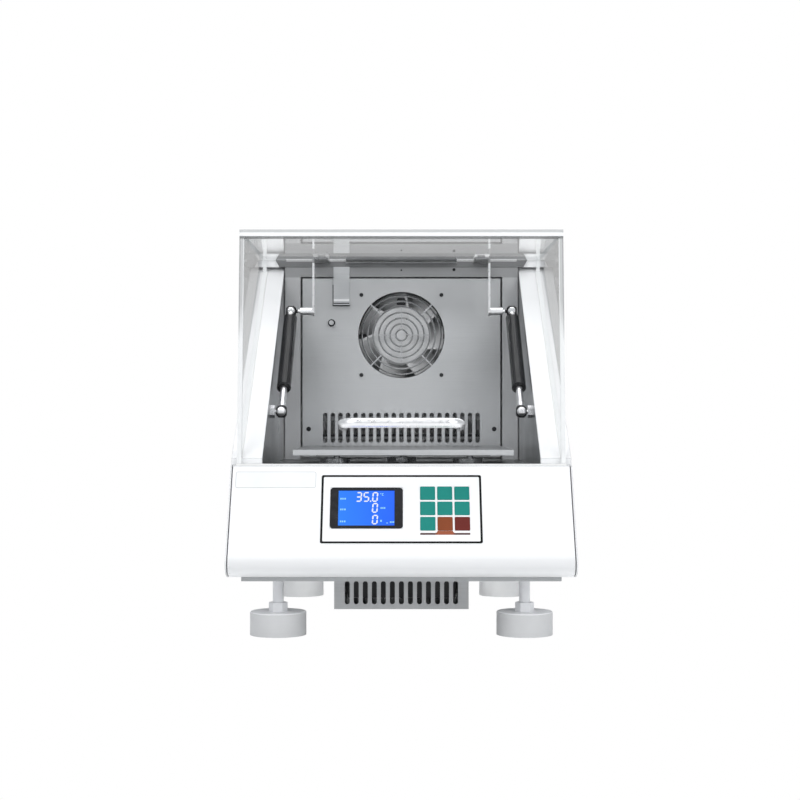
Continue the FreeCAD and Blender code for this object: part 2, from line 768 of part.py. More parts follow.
def make_side(name, side):
    def span(inner, outer):
        return (inner, outer) if side > 0 else (-outer, -inner)

    rim_in = chamber_half
    lower = [toe, console_corner, (console_top_y, s.console_top), (console_top_y, front_rim_top),
             (rim_start_y, front_rim_top), (rim_start_y, rim_start_z), (rim_end_y, side_top),
             (rear_y, side_top), (rear_y, plate_top)]
    skin = prism("side_skin", lower, *span(skin_in, body_half), [(console_corner, s.bend_radius)])
    sheet_high = tilted(s.panel_sheet)
    rim = prism("side_rim", [
        (rim_start_y, rim_start_z - sheet_high), (rim_start_y, rim_start_z),
        (rim_end_y, side_top), (rim_end_y, side_top - sheet_high)], *span(rim_in, skin_in))
    nose = prism("rim_front_end", [
        (rim_start_y, front_rim_top), (rim_start_y, rim_start_z),
        (rim_start_y + s.panel_sheet, rim_start_z + s.panel_sheet * rim_rise - sheet_high / 2),
        (rim_start_y + s.panel_sheet, front_rim_top)], *span(rim_in, skin_in))
    x0, x1 = span(plate_half_x - s.flange_depth / 2, skin_in)
    seat = box(x0, x1, toe[0] + s.flange_depth + s.fit_gap, panel_y - s.flange_depth - s.fit_gap,
               plate_top, plate_top + s.panel_sheet)
    node(name, fuse(skin, rim, nose, seat))


# Rear panel and top cover, folded from one sheet

def make_rear_cover():
    t = s.panel_sheet
    half = body_half
    top = box(-half, half, s.cover_front, rear_y, side_top, s.cover_top)
    hollow = box(-half + t, half - t, s.cover_front + t, rear_y - t, side_top, s.cover_top - t)
    in_half = skin_in - s.fit_gap
    back = box(-in_half, in_half, panel_y - t, panel_y, plate_top, s.cover_top - t)
    seat = box(-plate_half_x, plate_half_x, panel_y - s.flange_depth, panel_y, plate_top, plate_top + t)
    notch = box(-s.hinge_width / 2 - 1, s.hinge_width / 2 + 1, s.cover_front, hinge_y + knuckle + 0.5,
                hinge_z - knuckle - 0.5, s.cover_top)
    edge = s.inlet_sheet
    inlet = box(s.inlet_x - s.inlet_width / 2 + edge, s.inlet_x + s.inlet_width / 2 - edge, panel_y - t, panel_y,
                s.inlet_z - s.inlet_height / 2 + edge, s.inlet_z + s.inlet_height / 2 - edge)
    louvres = new_body("louvres")
    sketch = new_sketch(louvres, "XZ_Plane", -panel_y)
    first = -s.slot_pitch * (s.slot_count - 1) / 2
    draw_rectangle(sketch, first - s.slot_width / 2, first + s.slot_width / 2,
                   s.fan_centre - s.fan_size / 4, s.fan_centre + s.fan_size / 4)
    row_of(louvres, pad(louvres, sketch, t), sketch, s.slot_pitch, s.slot_count)
    node("rear_cover", cut(fuse(cut(top, hollow), back, seat), notch, inlet, louvres))


# Stainless chamber

def make_chamber():
    t = s.chamber_sheet
    floor_front = console_top_y + s.front_rim_depth - s.flange_depth / 2
    plate = box(-chamber_half - t, chamber_half + t, floor_front, s.chamber_back + t, floor_under, floor_height)
    lip = box(-chamber_half, chamber_half, floor_front, floor_front + t, floor_height, s.console_top)
    holes = [rod("Z", 0, s.crank_y, floor_under, s.shaft_diameter / 2 + 2, t)]
    for side in (-1, 1):
        holes.append(rod("Z", side * s.idler_x, s.idler_y, floor_under, s.idler_shaft / 2 + 2, t))
    node("chamber_floor", cut(fuse(plate, lip), *holes))
    walls = []
    front = rim_start_y + s.panel_sheet + s.fit_gap
    low = floor_height
    under_rim = tilted(s.panel_sheet)
    behind = console_top_y + s.front_rim_depth + s.fit_gap
    over = front_rim_top + s.fit_gap
    points = [(front, over), (behind, over), (behind, low), (s.chamber_back + t, low),
              (s.chamber_back + t, rim_height(s.chamber_back + t) - under_rim),
              (front, rim_height(front) - under_rim)]
    for x0, x1 in ((-chamber_half - t, -chamber_half), (chamber_half, chamber_half + t)):
        walls.append(prism("chamber_wall", points, x0, x1))
    node("chamber_walls", group(*walls))


panel_half = s.back_panel_width / 2
panel_low = floor_height + s.panel_gap


def make_back():
    t = s.chamber_sheet
    y0 = s.chamber_back
    body = new_body("back_panel_sheet")
    outline = new_sketch(body, "XZ_Plane", -y0 - t)
    draw_rectangle(outline, -panel_half, panel_half, panel_low, s.back_panel_top)
    draw_circle(outline, 0, s.fan_centre, s.fan_opening / 2)
    pad(body, outline, t)
    slots = new_sketch(body, "XZ_Plane", -y0 - t)
    first = -s.slot_pitch * (s.slot_count - 1) / 2
    draw_slot(slots, first, slot_low, slot_high, s.slot_width)
    hole = pocket(body, slots, t, True)
    row_of(body, hole, slots, s.slot_pitch, s.slot_count)
    node("back_panel", body)
    sides = []
    gap = s.panel_gap
    frame_top = s.back_panel_top + s.panel_top_gap
    reach = chamber_half - s.corner_gap
    for x0, x1 in ((-reach, -panel_half - gap), (panel_half + gap, reach)):
        sides.append(box(x0, x1, y0, y0 + t, floor_height, frame_top))
    band = box(-reach, reach, y0, y0 + t, frame_top, side_top)
    lip = new_body("rear_lip")
    front = new_sketch(lip, "XZ_Plane", -s.cover_front + s.fit_gap)
    wide = s.lip_half_width
    narrow = wide - s.lip_mitre
    notch = s.hinge_width / 2 + 1
    notch_z = hinge_z - knuckle - 2
    draw_polygon(front, [(-narrow, side_top), (narrow, side_top), (wide, s.cover_top), (notch, s.cover_top),
                         (notch, notch_z), (-notch, notch_z), (-notch, s.cover_top), (-wide, s.cover_top)])
    pad(lip, front, s.lip_thickness)
    node("back_frame", group(fuse(*sides, band), lip))


def make_sensor():
    y = s.chamber_back
    middle = -s.slot_pitch * 7.85
    low = s.back_panel_top - 35
    strip = box(middle - 10.5, middle + 10.5, y - 3.5, y, low, side_top)
    curl = box(middle - 10.5, middle + 10.5, y - 7, y - 3.5, low, low + 1.5)
    probe = fuse(rod("Y", middle - 13, y - 11, s.fan_centre + 15.7, as_size(3), as_size(11)),
                 rod("Y", middle - 13, y - 3, s.fan_centre + 15.7, as_size(5), as_size(3)))
    node("sensor_cover", group(fuse(strip, curl), probe))


def make_heater():
    """Flat heating bars held in end plates, with thin fins across them."""
    y = s.chamber_back + s.chamber_sheet
    middle = (slot_low + slot_high) / 2
    half = s.heater_width / 2
    high = s.heater_height / 2
    depth = s.heater_depth
    pieces = [box(x - 1, x + 1, y, y + depth, middle - high, middle + high) for x in (-half, half)]
    for offset in (-s.heater_bar, s.heater_bar):
        pieces.append(box(-half, half, y + depth * 0.25, y + depth * 0.75,
                          middle + offset - s.heater_bar / 4, middle + offset + s.heater_bar / 4))
    count = int(s.heater_fins.number)
    pitch = s.heater_width / (count + 1)
    for step in range(1, count + 1):
        x = pitch * step - half
        pieces.append(box(x - 0.5, x + 0.5, y + 3, y + depth - 3, middle - high + 3, middle + high - 3))
    node("heater", fuse(*pieces))


# Circulation fan behind the back panel

fan_front = s.chamber_back + s.chamber_sheet + s.guard_wire + 2 * s.fit_gap


def make_guard():
    """Rings in one plane, thin spokes across the inner rings and four legs out to the screws."""
    wire = s.guard_wire
    half = wire / 2
    body = new_body("guard_rings")
    sketch = new_sketch(body, "XY_Plane", 0)
    for index in range(1, int(s.guard_rings.number) + 1):
        radius = s.guard_pitch * index
        draw_polygon(sketch, [(radius - half, half), (radius, 0), (radius + half, half), (radius, wire)])
    rings = body.newObject("PartDesign::Revolution", "rings")
    rings.Profile = sketch
    rings.ReferenceAxis = (sketch, ["V_Axis"])
    rings.Angle = 360
    y = s.chamber_back + s.chamber_sheet + s.fit_gap
    place(body, 0, y, s.fan_centre)
    inner = s.guard_pitch * s.guard_inner
    outer = s.fan_pitch / 2 * root(as_size(2))
    pieces = [body]
    for start, low, high in ((0, s.guard_pitch, inner), (45, inner, outer)):
        for quarter in range(4):
            angle = start + 90 * quarter
            slant = math.radians(angle)
            spoke = doc.addObject("Part::Box", "spoke")
            bind(spoke, "Length", high - low)
            bind(spoke, "Width", wire * 0.8)
            bind(spoke, "Height", wire * 0.8)
            turn(spoke, (0, -1, 0), angle)
            shift = wire * 0.4
            place(spoke, low * math.cos(slant) + shift * math.sin(slant), y + wire * 0.1,
                  s.fan_centre + low * math.sin(slant) - shift * math.cos(slant))
            pieces.append(spoke)
    eyes = []
    for a in (-1, 1):
        for b in (-1, 1):
            x, z = a * s.fan_pitch / 2, s.fan_centre + b * s.fan_pitch / 2
            eyes.append(cut(rod("Y", x, y, z, s.guard_eye / 2, wire),
                            rod("Y", x, y, z, s.guard_eye / 2 - wire, wire)))
    holes = [rod("Y", a * s.fan_pitch / 2, y, s.fan_centre + b * s.fan_pitch / 2, s.guard_eye / 2 - wire, wire)
             for a in (-1, 1) for b in (-1, 1)]
    node("fan_guard", fuse(cut(fuse(*pieces), *holes), *eyes))


def make_wheel(name, width, centre, direction):
    """Hub and pitched blades about Z, then turned and placed."""
    tip = s.fan_bore / 2 - s.blade_play
    hub_radius = s.hub_diameter / 2
    bore = s.motor_shaft / 2 + s.pin_play
    hub = lathe("hub", [(bore, 0), (hub_radius, 0), (hub_radius, width - 3), (hub_radius - 3, width),
                        (0, width), (0, width - 3), (bore, width - 3)])
    ring = cut(rod("Z", 0, 0, 0, tip, width), rod("Z", 0, 0, 0, hub_radius - 2, width))
    reach = width / 2 / tangent(s.blade_angle)
    half = s.blade_thickness / 2 / sine(s.blade_angle)
    blades = new_body("blades")
    sketch = new_sketch(blades, "YZ_Plane", 0)
    draw_polygon(sketch, [(reach - half, 0), (reach + half, 0), (half - reach, width), (-reach - half, width)])
    blade = pad(blades, sketch, tip)
    middle = new_sketch(blades, "XY_Plane", 0)
    ring_of(blades, blade, middle, s.blade_count)
    wheel = fuse(hub, common(blades, ring))
    axis, angle = direction
    wheel.Placement = FreeCAD.Placement(FreeCAD.Vector(), FreeCAD.Rotation(FreeCAD.Vector(*axis), angle))
    place(wheel, *centre)
    return node(name, wheel)


def make_fan_frame(name, depth):
    """A square frame with a round bore, three arms, a motor and its shaft, about Z from 0 up."""
    half = s.fan_size / 2
    block = box(-half, half, -half, half, as_size(0), depth)
    holes = [rod("Z", 0, 0, 0, s.fan_bore / 2, depth)]
    for a in (-1, 1):
        for b in (-1, 1):
            holes.append(rod("Z", a * s.fan_pitch / 2, b * s.fan_pitch / 2, 0, as_size(2.2), depth))
    thick = as_size(5)
    motor = rod("Z", 0, 0, 0, s.hub_diameter / 2 - 3, thick)
    shaft = rod("Z", 0, 0, thick, s.motor_shaft / 2, depth / 2)
    arms = [box(-s.fan_bore / 2 - 1, s.fan_bore / 2 + 1, as_size(-3), as_size(3), as_size(0), thick),
            box(as_size(-3), as_size(3), as_size(0), s.fan_bore / 2 + 1, as_size(0), thick)]
    return fuse(cut(block, *holes), motor, shaft, *arms)


def make_fans():
    width = s.fan_depth - 12
    frame = make_fan_frame("circulation", s.fan_depth)
    frame.Placement = FreeCAD.Placement(FreeCAD.Vector(), FreeCAD.Rotation(FreeCAD.Vector(1, 0, 0), 90))
    place(frame, 0, fan_front + s.fan_depth, s.fan_centre)
    node("fan_frame", frame)
    make_wheel("fan_wheel", width, (0, fan_front + s.fan_depth - 6, s.fan_centre), ((1, 0, 0), 90))
    flat = s.exhaust_depth - 9
    under = make_fan_frame("exhaust", s.exhaust_depth)
    place(under, 0, exhaust_y, s.plate_bottom - s.exhaust_depth)
    node("exhaust_fan_frame", under)
    make_wheel("exhaust_fan_wheel", flat, (0, exhaust_y, s.plate_bottom - s.exhaust_depth + 6), ((0, 0, 1), 0))


# Vent box below the base plate

def make_vent_box():
    t = s.panel_sheet
    low = s.plate_bottom - s.vent_height
    half = s.vent_width / 2
    body = new_body("vent_box_sheet")
    outline = new_sketch(body, "XY_Plane", low)
    draw_rectangle(outline, -half, half, vent_front, vent_front + s.vent_length)
    pad(body, outline, s.vent_height)
    inside = new_sketch(body, "XY_Plane", low + t)
    draw_rectangle(inside, -half + t, half - t, vent_front + t, vent_front + s.vent_length - t)
    pocket(body, inside, s.vent_height, True)
    slots = new_sketch(body, "XZ_Plane", -vent_front - s.vent_length)
    first = -s.vent_pitch * (s.vent_count - 1) / 2
    draw_slot(slots, first, low + s.vent_sill, s.plate_bottom - s.vent_head, s.vent_slot)
    hole = pocket(body, slots, s.vent_length, True)
    row_of(body, hole, slots, s.vent_pitch, s.vent_count)
    node("vent_box", body)


# Shaking drive

orbit_x = s.orbit_radius * cosine(s.orbit_phase)
orbit_y = s.orbit_radius * sine(s.orbit_phase)
weight_low = floor_under - s.housing_height - s.drive_gap - s.weight_height
pulley_z = weight_low - s.fit_gap - s.pulley_height
motor_top = pulley_z - s.motor_gap - s.motor_boss
pin_radius = s.pin_diameter / 2
carrier_top = platform_top - s.platform_sheet
carrier_low = carrier_top - s.carrier_thickness


def eccentric(x, y, shaft_radius, low):
    """Shaft, disc and offset pin turned as one piece."""
    disc_low = floor_height + s.disc_gap
    shaft = rod("Z", x, y, low, shaft_radius, disc_low - low)
    disc = rod("Z", x, y, disc_low, s.disc_diameter / 2, s.disc_thickness)
    pin = rod("Z", x + orbit_x, y + orbit_y, disc_low + s.disc_thickness, pin_radius,
              carrier_top - s.fit_gap - disc_low - s.disc_thickness)
    return fuse(shaft, disc, pin)


def make_drive():
    play = s.pin_play
    shaft_radius = s.shaft_diameter / 2
    crank = eccentric(as_size(0), s.crank_y, shaft_radius, pulley_z)
    pulley = cut(rod("Z", 0, s.crank_y, pulley_z, s.pulley_diameter / 2, s.pulley_height),
                 rod("Z", 0, s.crank_y, pulley_z, shaft_radius + play, s.pulley_height))
    disc = rod("Z", 0, s.crank_y, weight_low, s.weight_radius, s.weight_height)
    half_plane = box(-s.weight_radius, s.weight_radius, s.crank_y - s.shaft_diameter, s.crank_y + s.weight_radius,
                     weight_low, weight_low + s.weight_height)
    weight = cut(common(disc, half_plane),
                 rod("Z", 0, s.crank_y, weight_low, shaft_radius + play, s.weight_height))
    node("main_crank", group(crank, pulley, weight))
    housings = [cut(rod("Z", 0, s.crank_y, floor_under - s.housing_height, s.housing_diameter / 2, s.housing_height),
                    rod("Z", 0, s.crank_y, floor_under - s.housing_height, shaft_radius + play, s.housing_height))]
    for name, side in (("left", -1), ("right", 1)):
        x = side * s.idler_x
        low = floor_under - s.idler_height
        housings.append(cut(rod("Z", x, s.idler_y, low, s.idler_housing / 2, s.idler_height),
                            rod("Z", x, s.idler_y, low + 3, s.idler_shaft / 2 + play, s.idler_height)))
        node(f"idler_crank_{name}", eccentric(x, s.idler_y, s.idler_shaft / 2, low + 3 + s.fit_gap))
    node("bearing_housings", group(*housings))
    motor = fuse(rod("Z", s.motor_x, s.motor_y, plate_top, s.motor_diameter / 2, motor_top - plate_top),
                 rod("Z", s.motor_x, s.motor_y, motor_top, s.motor_boss_diameter / 2, s.motor_boss),
                 rod("Z", s.motor_x, s.motor_y, motor_top, s.motor_shaft / 2,
                     weight_low - s.fit_gap - motor_top))
    node("drive_motor", motor)
    small = cut(rod("Z", s.motor_x, s.motor_y, pulley_z, s.motor_pulley / 2, s.pulley_height),
                rod("Z", s.motor_x, s.motor_y, pulley_z, s.motor_shaft / 2 + play, s.pulley_height))
    node("motor_pulley", small)
    make_belt()


def make_belt():
    """A loop round both pulleys, its ends arcs and its sides straight."""
    start = FreeCAD.Vector(0, sheet.crank_y, 0)
    end = FreeCAD.Vector(sheet.motor_x, sheet.motor_y, 0)
    line = end - start
    along = math.atan2(line.y, line.x)
    spread = math.acos((sheet.pulley_diameter - sheet.motor_pulley) / 2 / line.Length)
    low = pulley_z.number + (sheet.pulley_height - sheet.belt_height) / 2

    def loop(offset):
        def point(centre, radius, angle):
            return centre + FreeCAD.Vector(radius * math.cos(angle), radius * math.sin(angle), low)

        big = sheet.pulley_diameter / 2 + offset
        small = sheet.motor_pulley / 2 + offset
        a = point(start, big, along + spread)
        b = point(start, big, along + math.pi)
        c = point(start, big, along - spread)
        d = point(end, small, along - spread)
        e = point(end, small, along)
        f = point(end, small, along + spread)
        edges = [Part.Arc(a, b, c).toShape(), Part.LineSegment(c, d).toShape(),
                 Part.Arc(d, e, f).toShape(), Part.LineSegment(f, a).toShape()]
        return Part.Face(Part.Wire(edges))

    inner = sheet.fit_gap
    face = loop(inner + sheet.belt_thickness).cut(loop(inner))
    belt = doc.addObject("Part::Feature", "belt")
    belt.Shape = face.Faces[0].extrude(FreeCAD.Vector(0, 0, sheet.belt_height))
    node("drive_belt", belt)


def make_platform():
    middle_y = s.crank_y + orbit_y
    half = s.platform_size / 2
    low = platform_top - s.platform_edge
    t = s.platform_sheet
    body = new_body("platform_tray")
    outline = new_sketch(body, "XY_Plane", low)
    draw_rectangle(outline, orbit_x - half, orbit_x + half, middle_y - half, middle_y + half)
    pad(body, outline, s.platform_edge)
    inside = new_sketch(body, "XY_Plane", low)
    draw_rectangle(inside, orbit_x - half + t, orbit_x + half - t, middle_y - half + t, middle_y + half - t)
    pocket(body, inside, s.platform_edge - t, True)
    holes = new_sketch(body, "XY_Plane", platform_top - t)
    count = int(s.hole_count.number)
    first = s.hole_pitch * (count - 1) / 2
    for column in range(count):
        for line in range(count):
            draw_circle(holes, orbit_x - first + s.hole_pitch * column, middle_y - first + s.hole_pitch * line,
                        s.hole_diameter / 2)
    pocket(body, holes, t, True)
    node("platform", body)
    wide = s.carrier_size / 2
    plate = box(orbit_x - wide, orbit_x + wide, middle_y - wide, middle_y + wide, carrier_low, carrier_top)
    holes = []
    for x, y in ((as_size(0), s.crank_y), (-s.idler_x, s.idler_y), (s.idler_x, s.idler_y)):
        holes.append(rod("Z", x + orbit_x, y + orbit_y, carrier_low, pin_radius + s.pin_play, s.carrier_thickness))
    node("platform_carrier", cut(plate, *holes))


# Hinge and lid

hinge_y = s.cover_front + s.hinge_reach
hinge_z = s.cover_top + s.hinge_rise
knuckle = s.knuckle_diameter / 2
lid_rear = s.cover_front - s.lid_rear_gap
lid_top = s.cover_top + s.lid_sheet
lid_front_top = lid_front_y + (s.cover_top - lid_front_z) * tangent(s.lid_lean)
KNUCKLES = 5


def knuckle_spans(first):
    step = s.hinge_width / KNUCKLES
    for index in range(first, KNUCKLES, 2):
        x0 = -s.hinge_width / 2 + step * index
        yield x0 + s.fit_gap / 2, x0 + step - s.fit_gap / 2


def make_hinge():
    bore = s.hinge_pin / 2 + s.pin_play
    t = s.leaf_sheet
    half = s.hinge_width / 2
    clear = knuckle + s.fit_gap
    parts = [box(-half, half, hinge_y + clear, hinge_y + s.leaf_depth, s.cover_top, s.cover_top + t)]
    bores = []
    for x0, x1 in knuckle_spans(0):
        parts.append(box(x0, x1, hinge_y, hinge_y + clear + 1, s.cover_top, s.cover_top + t))
        parts.append(rod("X", x0, hinge_y, hinge_z, knuckle, x1 - x0))
        bores.append(rod("X", x0, hinge_y, hinge_z, bore, x1 - x0))
    pin = rod("X", -half, hinge_y, hinge_z, s.hinge_pin / 2, s.hinge_width)
    node("hinge_body_leaf", group(cut(fuse(*parts), *bores), pin))
    low = s.cover_top - t
    parts = [box(-half, half, hinge_y - s.leaf_depth, hinge_y - clear, low, s.cover_top)]
    bores = []
    for x0, x1 in knuckle_spans(1):
        parts.append(box(x0, x1, hinge_y - clear - 1, hinge_y, low, s.cover_top))
        parts.append(rod("X", x0, hinge_y, hinge_z, knuckle, x1 - x0))
        bores.append(rod("X", x0, hinge_y, hinge_z, bore, x1 - x0))
    node("hinge_lid_leaf", cut(fuse(*parts), *bores))


def make_lid():
    t = s.lid_sheet
    front_thick = t / cosine(s.lid_lean)
    node("lid_front", prism("front_sheet", [
        (lid_front_y, lid_front_z), (lid_front_y + front_thick, lid_front_z),
        (lid_front_top + front_thick, s.cover_top), (lid_front_top, s.cover_top)], -lid_half, lid_half))
    node("lid_top", box(-lid_half, lid_half, lid_front_top, lid_rear, s.cover_top, lid_top))
    rise = tilted(s.seal_thickness + s.lid_gap)
    lean = tangent(s.lid_lean)
    base_y = lid_front_y + front_thick
    corner_y = (base_y + (rim_start_z + rise - lid_front_z - rim_start_y * rim_rise) * lean) / (1 - rim_rise * lean)
    points = [(corner_y, rim_height(corner_y) + rise), (lid_rear, rim_height(lid_rear) + rise),
              (lid_rear, s.cover_top), (lid_front_top + front_thick, s.cover_top)]
    sides = [prism("side_sheet", points, x0, x1) for x0, x1 in ((-lid_half, -lid_half + t), (lid_half - t, lid_half))]
    node("lid_sides", group(*sides))


def make_seal():
    w = s.seal_width
    middle = lid_half - s.lid_sheet / 2
    high = tilted(s.seal_thickness)
    start = rim_start_y
    end = lid_rear
    points = [(start, rim_height(start)), (end, rim_height(end)),
              (end, rim_height(end) + high), (start, rim_height(start) + high)]
    strips = [prism("side_seal", points, x - w / 2, x + w / 2) for x in (-middle, middle)]
    reach = middle + w / 2
    strips.append(box(-reach, reach, lid_front_y - (w - s.lid_sheet) / 2, rim_start_y - s.fit_gap / 2,
                      front_rim_top, front_rim_top + s.seal_thickness))
    node("rim_seal", group(*strips))


def make_handle():
    """A bent bar with two legs, standing off the front sheet at right angles."""
    body = new_body("handle_bar")
    radius = s.handle_bar / 2
    half = s.handle_length / 2 - radius
    bend = s.handle_bend
    reach = s.handle_reach - radius
    path = new_sketch(body, "XY_Plane", 0)
    spots = [(-half, 0), (-half, -reach + bend), (-half + bend, -reach), (half - bend, -reach),
             (half, -reach + bend), (half, 0)]
    spots = [(as_size(a), as_size(b)) for a, b in spots]
    flat = [FreeCAD.Vector(a.number, b.number, 0) for a, b in spots]
    path.addGeometry(Part.LineSegment(flat[0], flat[1]), False)
    path.addGeometry(Part.ArcOfCircle(Part.Circle(
        FreeCAD.Vector(flat[2].x, flat[1].y, 0), FreeCAD.Vector(0, 0, 1), bend.number), math.pi, math.pi * 1.5), False)
    path.addGeometry(Part.LineSegment(flat[2], flat[3]), False)
    path.addGeometry(Part.ArcOfCircle(Part.Circle(
        FreeCAD.Vector(flat[3].x, flat[4].y, 0), FreeCAD.Vector(0, 0, 1), bend.number), math.pi * 1.5, math.pi * 2), False)
    path.addGeometry(Part.LineSegment(flat[4], flat[5]), False)
    for first, end, second, start in ((0, 2, 1, 1), (1, 2, 2, 1), (2, 2, 3, 1), (3, 2, 4, 1)):
        path.addConstraint(Sketcher.Constraint("Tangent", first, end, second, start))
    for kind, line, end, value in (("DistanceX", 0, 1, spots[0][0]), ("DistanceY", 0, 1, spots[0][1]),
                                   ("DistanceX", 4, 2, spots[5][0]), ("DistanceY", 4, 2, spots[5][1]),
                                   ("DistanceY", 2, 1, spots[2][1])):
        number = path.addConstraint(Sketcher.Constraint(kind, -1, 1, line, end, value.number))
        path.setExpression(f"Constraints[{number}]", value.text)
    path.addConstraint(Sketcher.Constraint("Vertical", 0))
    path.addConstraint(Sketcher.Constraint("Vertical", 4))
    path.addConstraint(Sketcher.Constraint("Horizontal", 2))
    for arc in (1, 3):
        number = path.addConstraint(Sketcher.Constraint("Radius", arc, bend.number))
        path.setExpression(f"Constraints[{number}]", bend.text)
    ring = new_sketch(body, "XZ_Plane", 0)
    draw_circle(ring, -half, 0, radius)
    doc.recompute()
    bar = body.newObject("PartDesign::AdditivePipe", "bent_bar")
    bar.Profile = ring
    bar.Spine = (path, [])
    turn(body, (1, 0, 0), -s.lid_lean)
    sheet_y = lid_front_y + (s.handle_height - lid_front_z) * tangent(s.lid_lean)
    place(body, 0, sheet_y, s.handle_height)
    node("lid_handle", body)


def make_lid_brackets():
    pieces = []
    t = s.bracket_sheet
    top = s.cover_top - s.bracket_spacer
    front = s.strut_high_y - s.arm_width / 2
    for side in (-1, 1):
        def span(inner, outer):
            return (inner, outer) if side > 0 else (-outer, -inner)

        inner = s.bracket_x
        x0, x1 = span(inner - s.bracket_flange, inner + t)
        flange = box(x0, x1, front, front + s.bracket_depth, top - t, top)
        x0, x1 = span(inner, inner + t)
        arm = box(x0, x1, front, front + s.arm_width, s.strut_high_z, top)
        tip = rod("X", x0, s.strut_high_y, s.strut_high_z, s.arm_width / 2, t)
        neck_end = s.strut_x - s.tube_diameter / 2 - s.fit_gap
        body_end = neck_end - 3
        x0, x1 = span(inner + t, body_end)
        post = rod("X", x0, s.strut_high_y, s.strut_high_z, s.standoff_diameter / 2, x1 - x0)
        x0, x1 = span(body_end, neck_end)
        neck = rod("X", x0, s.strut_high_y, s.strut_high_z, s.stud_neck / 2, x1 - x0)
        pieces.append(fuse(flange, arm, tip))
        pieces.append(fuse(post, neck))
        for step in (0.3, 0.8):
            washer_y = front + s.bracket_depth * step
            washer_x = side * (inner - s.bracket_flange / 2)
            pieces.append(rod("Z", washer_x, washer_y, top, as_size(5), s.bracket_spacer))
    node("lid_brackets", group(*pieces))


# Gas struts, drawn along X from the lower ball and swung into place

strut_run = s.strut_high_y - s.strut_low_y
strut_rise = s.strut_high_z - s.strut_low_z
strut_length = root(strut_run * strut_run + strut_rise * strut_rise)
strut_angle = arc_tangent(strut_rise, strut_run)


def swing(thing, side):
    """Turns a piece drawn about Z at the lower ball into the strut's slanted line."""
    turn(thing, (1, 0, 0), strut_angle - 90)
    return place(thing, side * s.strut_x, s.strut_low_y, s.strut_low_z)


def socket(z, side, cavity):
    """A turned end socket, its axis along X, bored from the side that its stud comes from."""
    radius = s.socket_diameter / 2
    half = s.eye_width / 2
    edge = s.eye_bevel
    turned = lathe("socket", [(0, -half), (radius - edge, -half), (radius, edge - half), (radius, half - edge),
                              (radius - edge, half), (0, half)])
    direction, angle = TURNS["X"]
    turned.Placement = FreeCAD.Placement(FreeCAD.Vector(), FreeCAD.Rotation(FreeCAD.Vector(*direction), angle))
    place(turned, 0, 0, z)
    depth = half + cavity
    bore = rod("X", -cavity if side > 0 else -half, 0, z, cavity, depth)
    return cut(turned, bore)


def make_struts():
    ball_radius = s.ball_diameter / 2
    cavity = ball_radius + s.pin_play
    rod_radius = s.rod_diameter / 2
    lower = []
    for name, side in (("left", -1), ("right", 1)):
        eye = socket(as_size(0), side, cavity)
        start = s.socket_diameter / 2 - 2
        shank = rod("Z", 0, 0, start, rod_radius + 0.5, as_size(10))
        piston = rod("Z", 0, 0, start, rod_radius, strut_length - s.rod_end - start)
        rod_piece = swing(fuse(eye, shank, piston), side)
        node(f"strut_rod_{name}", rod_piece)
        top = strut_length - s.tube_end
        radius = s.tube_diameter / 2
        bore = rod_radius + s.pin_play
        stop = strut_length - s.rod_end + 3
        tube = lathe("tube", [(bore, s.tube_start), (radius - 1.5, s.tube_start), (radius, s.tube_start + 1.5),
                              (radius, top - 2), (radius - 3, top), (0, top), (0, stop), (bore, stop)])
        head = socket(strut_length, -side, cavity)
        link = rod("Z", 0, 0, top - 1, rod_radius, s.tube_end - s.socket_diameter / 2 + 3)
        held = ball(0, 0, strut_length, ball_radius)
        reach = s.tube_diameter / 2
        x0 = as_size(0) if side < 0 else -reach
        stub = rod("X", x0, 0, strut_length, s.stud_neck / 2, reach)
        node(f"strut_tube_{name}", swing(group(fuse(tube, head, link), fuse(held, stub)), side))
        wall = side * chamber_half
        centre = side * s.strut_x
        hex_length = as_size(5.5)
        neck_from = centre if side > 0 else wall
        lower.append(fuse(
            hexagon("X", wall - hex_length if side > 0 else wall, s.strut_low_y, s.strut_low_z,
                    s.stud_hex, hex_length),
            rod("X", neck_from, s.strut_low_y, s.strut_low_z, s.stud_neck / 2, chamber_half - s.strut_x),
            ball(centre, s.strut_low_y, s.strut_low_z, ball_radius)))
    node("lower_ball_studs", group(*lower))


# Power inlet with its rocker, and the screws that show

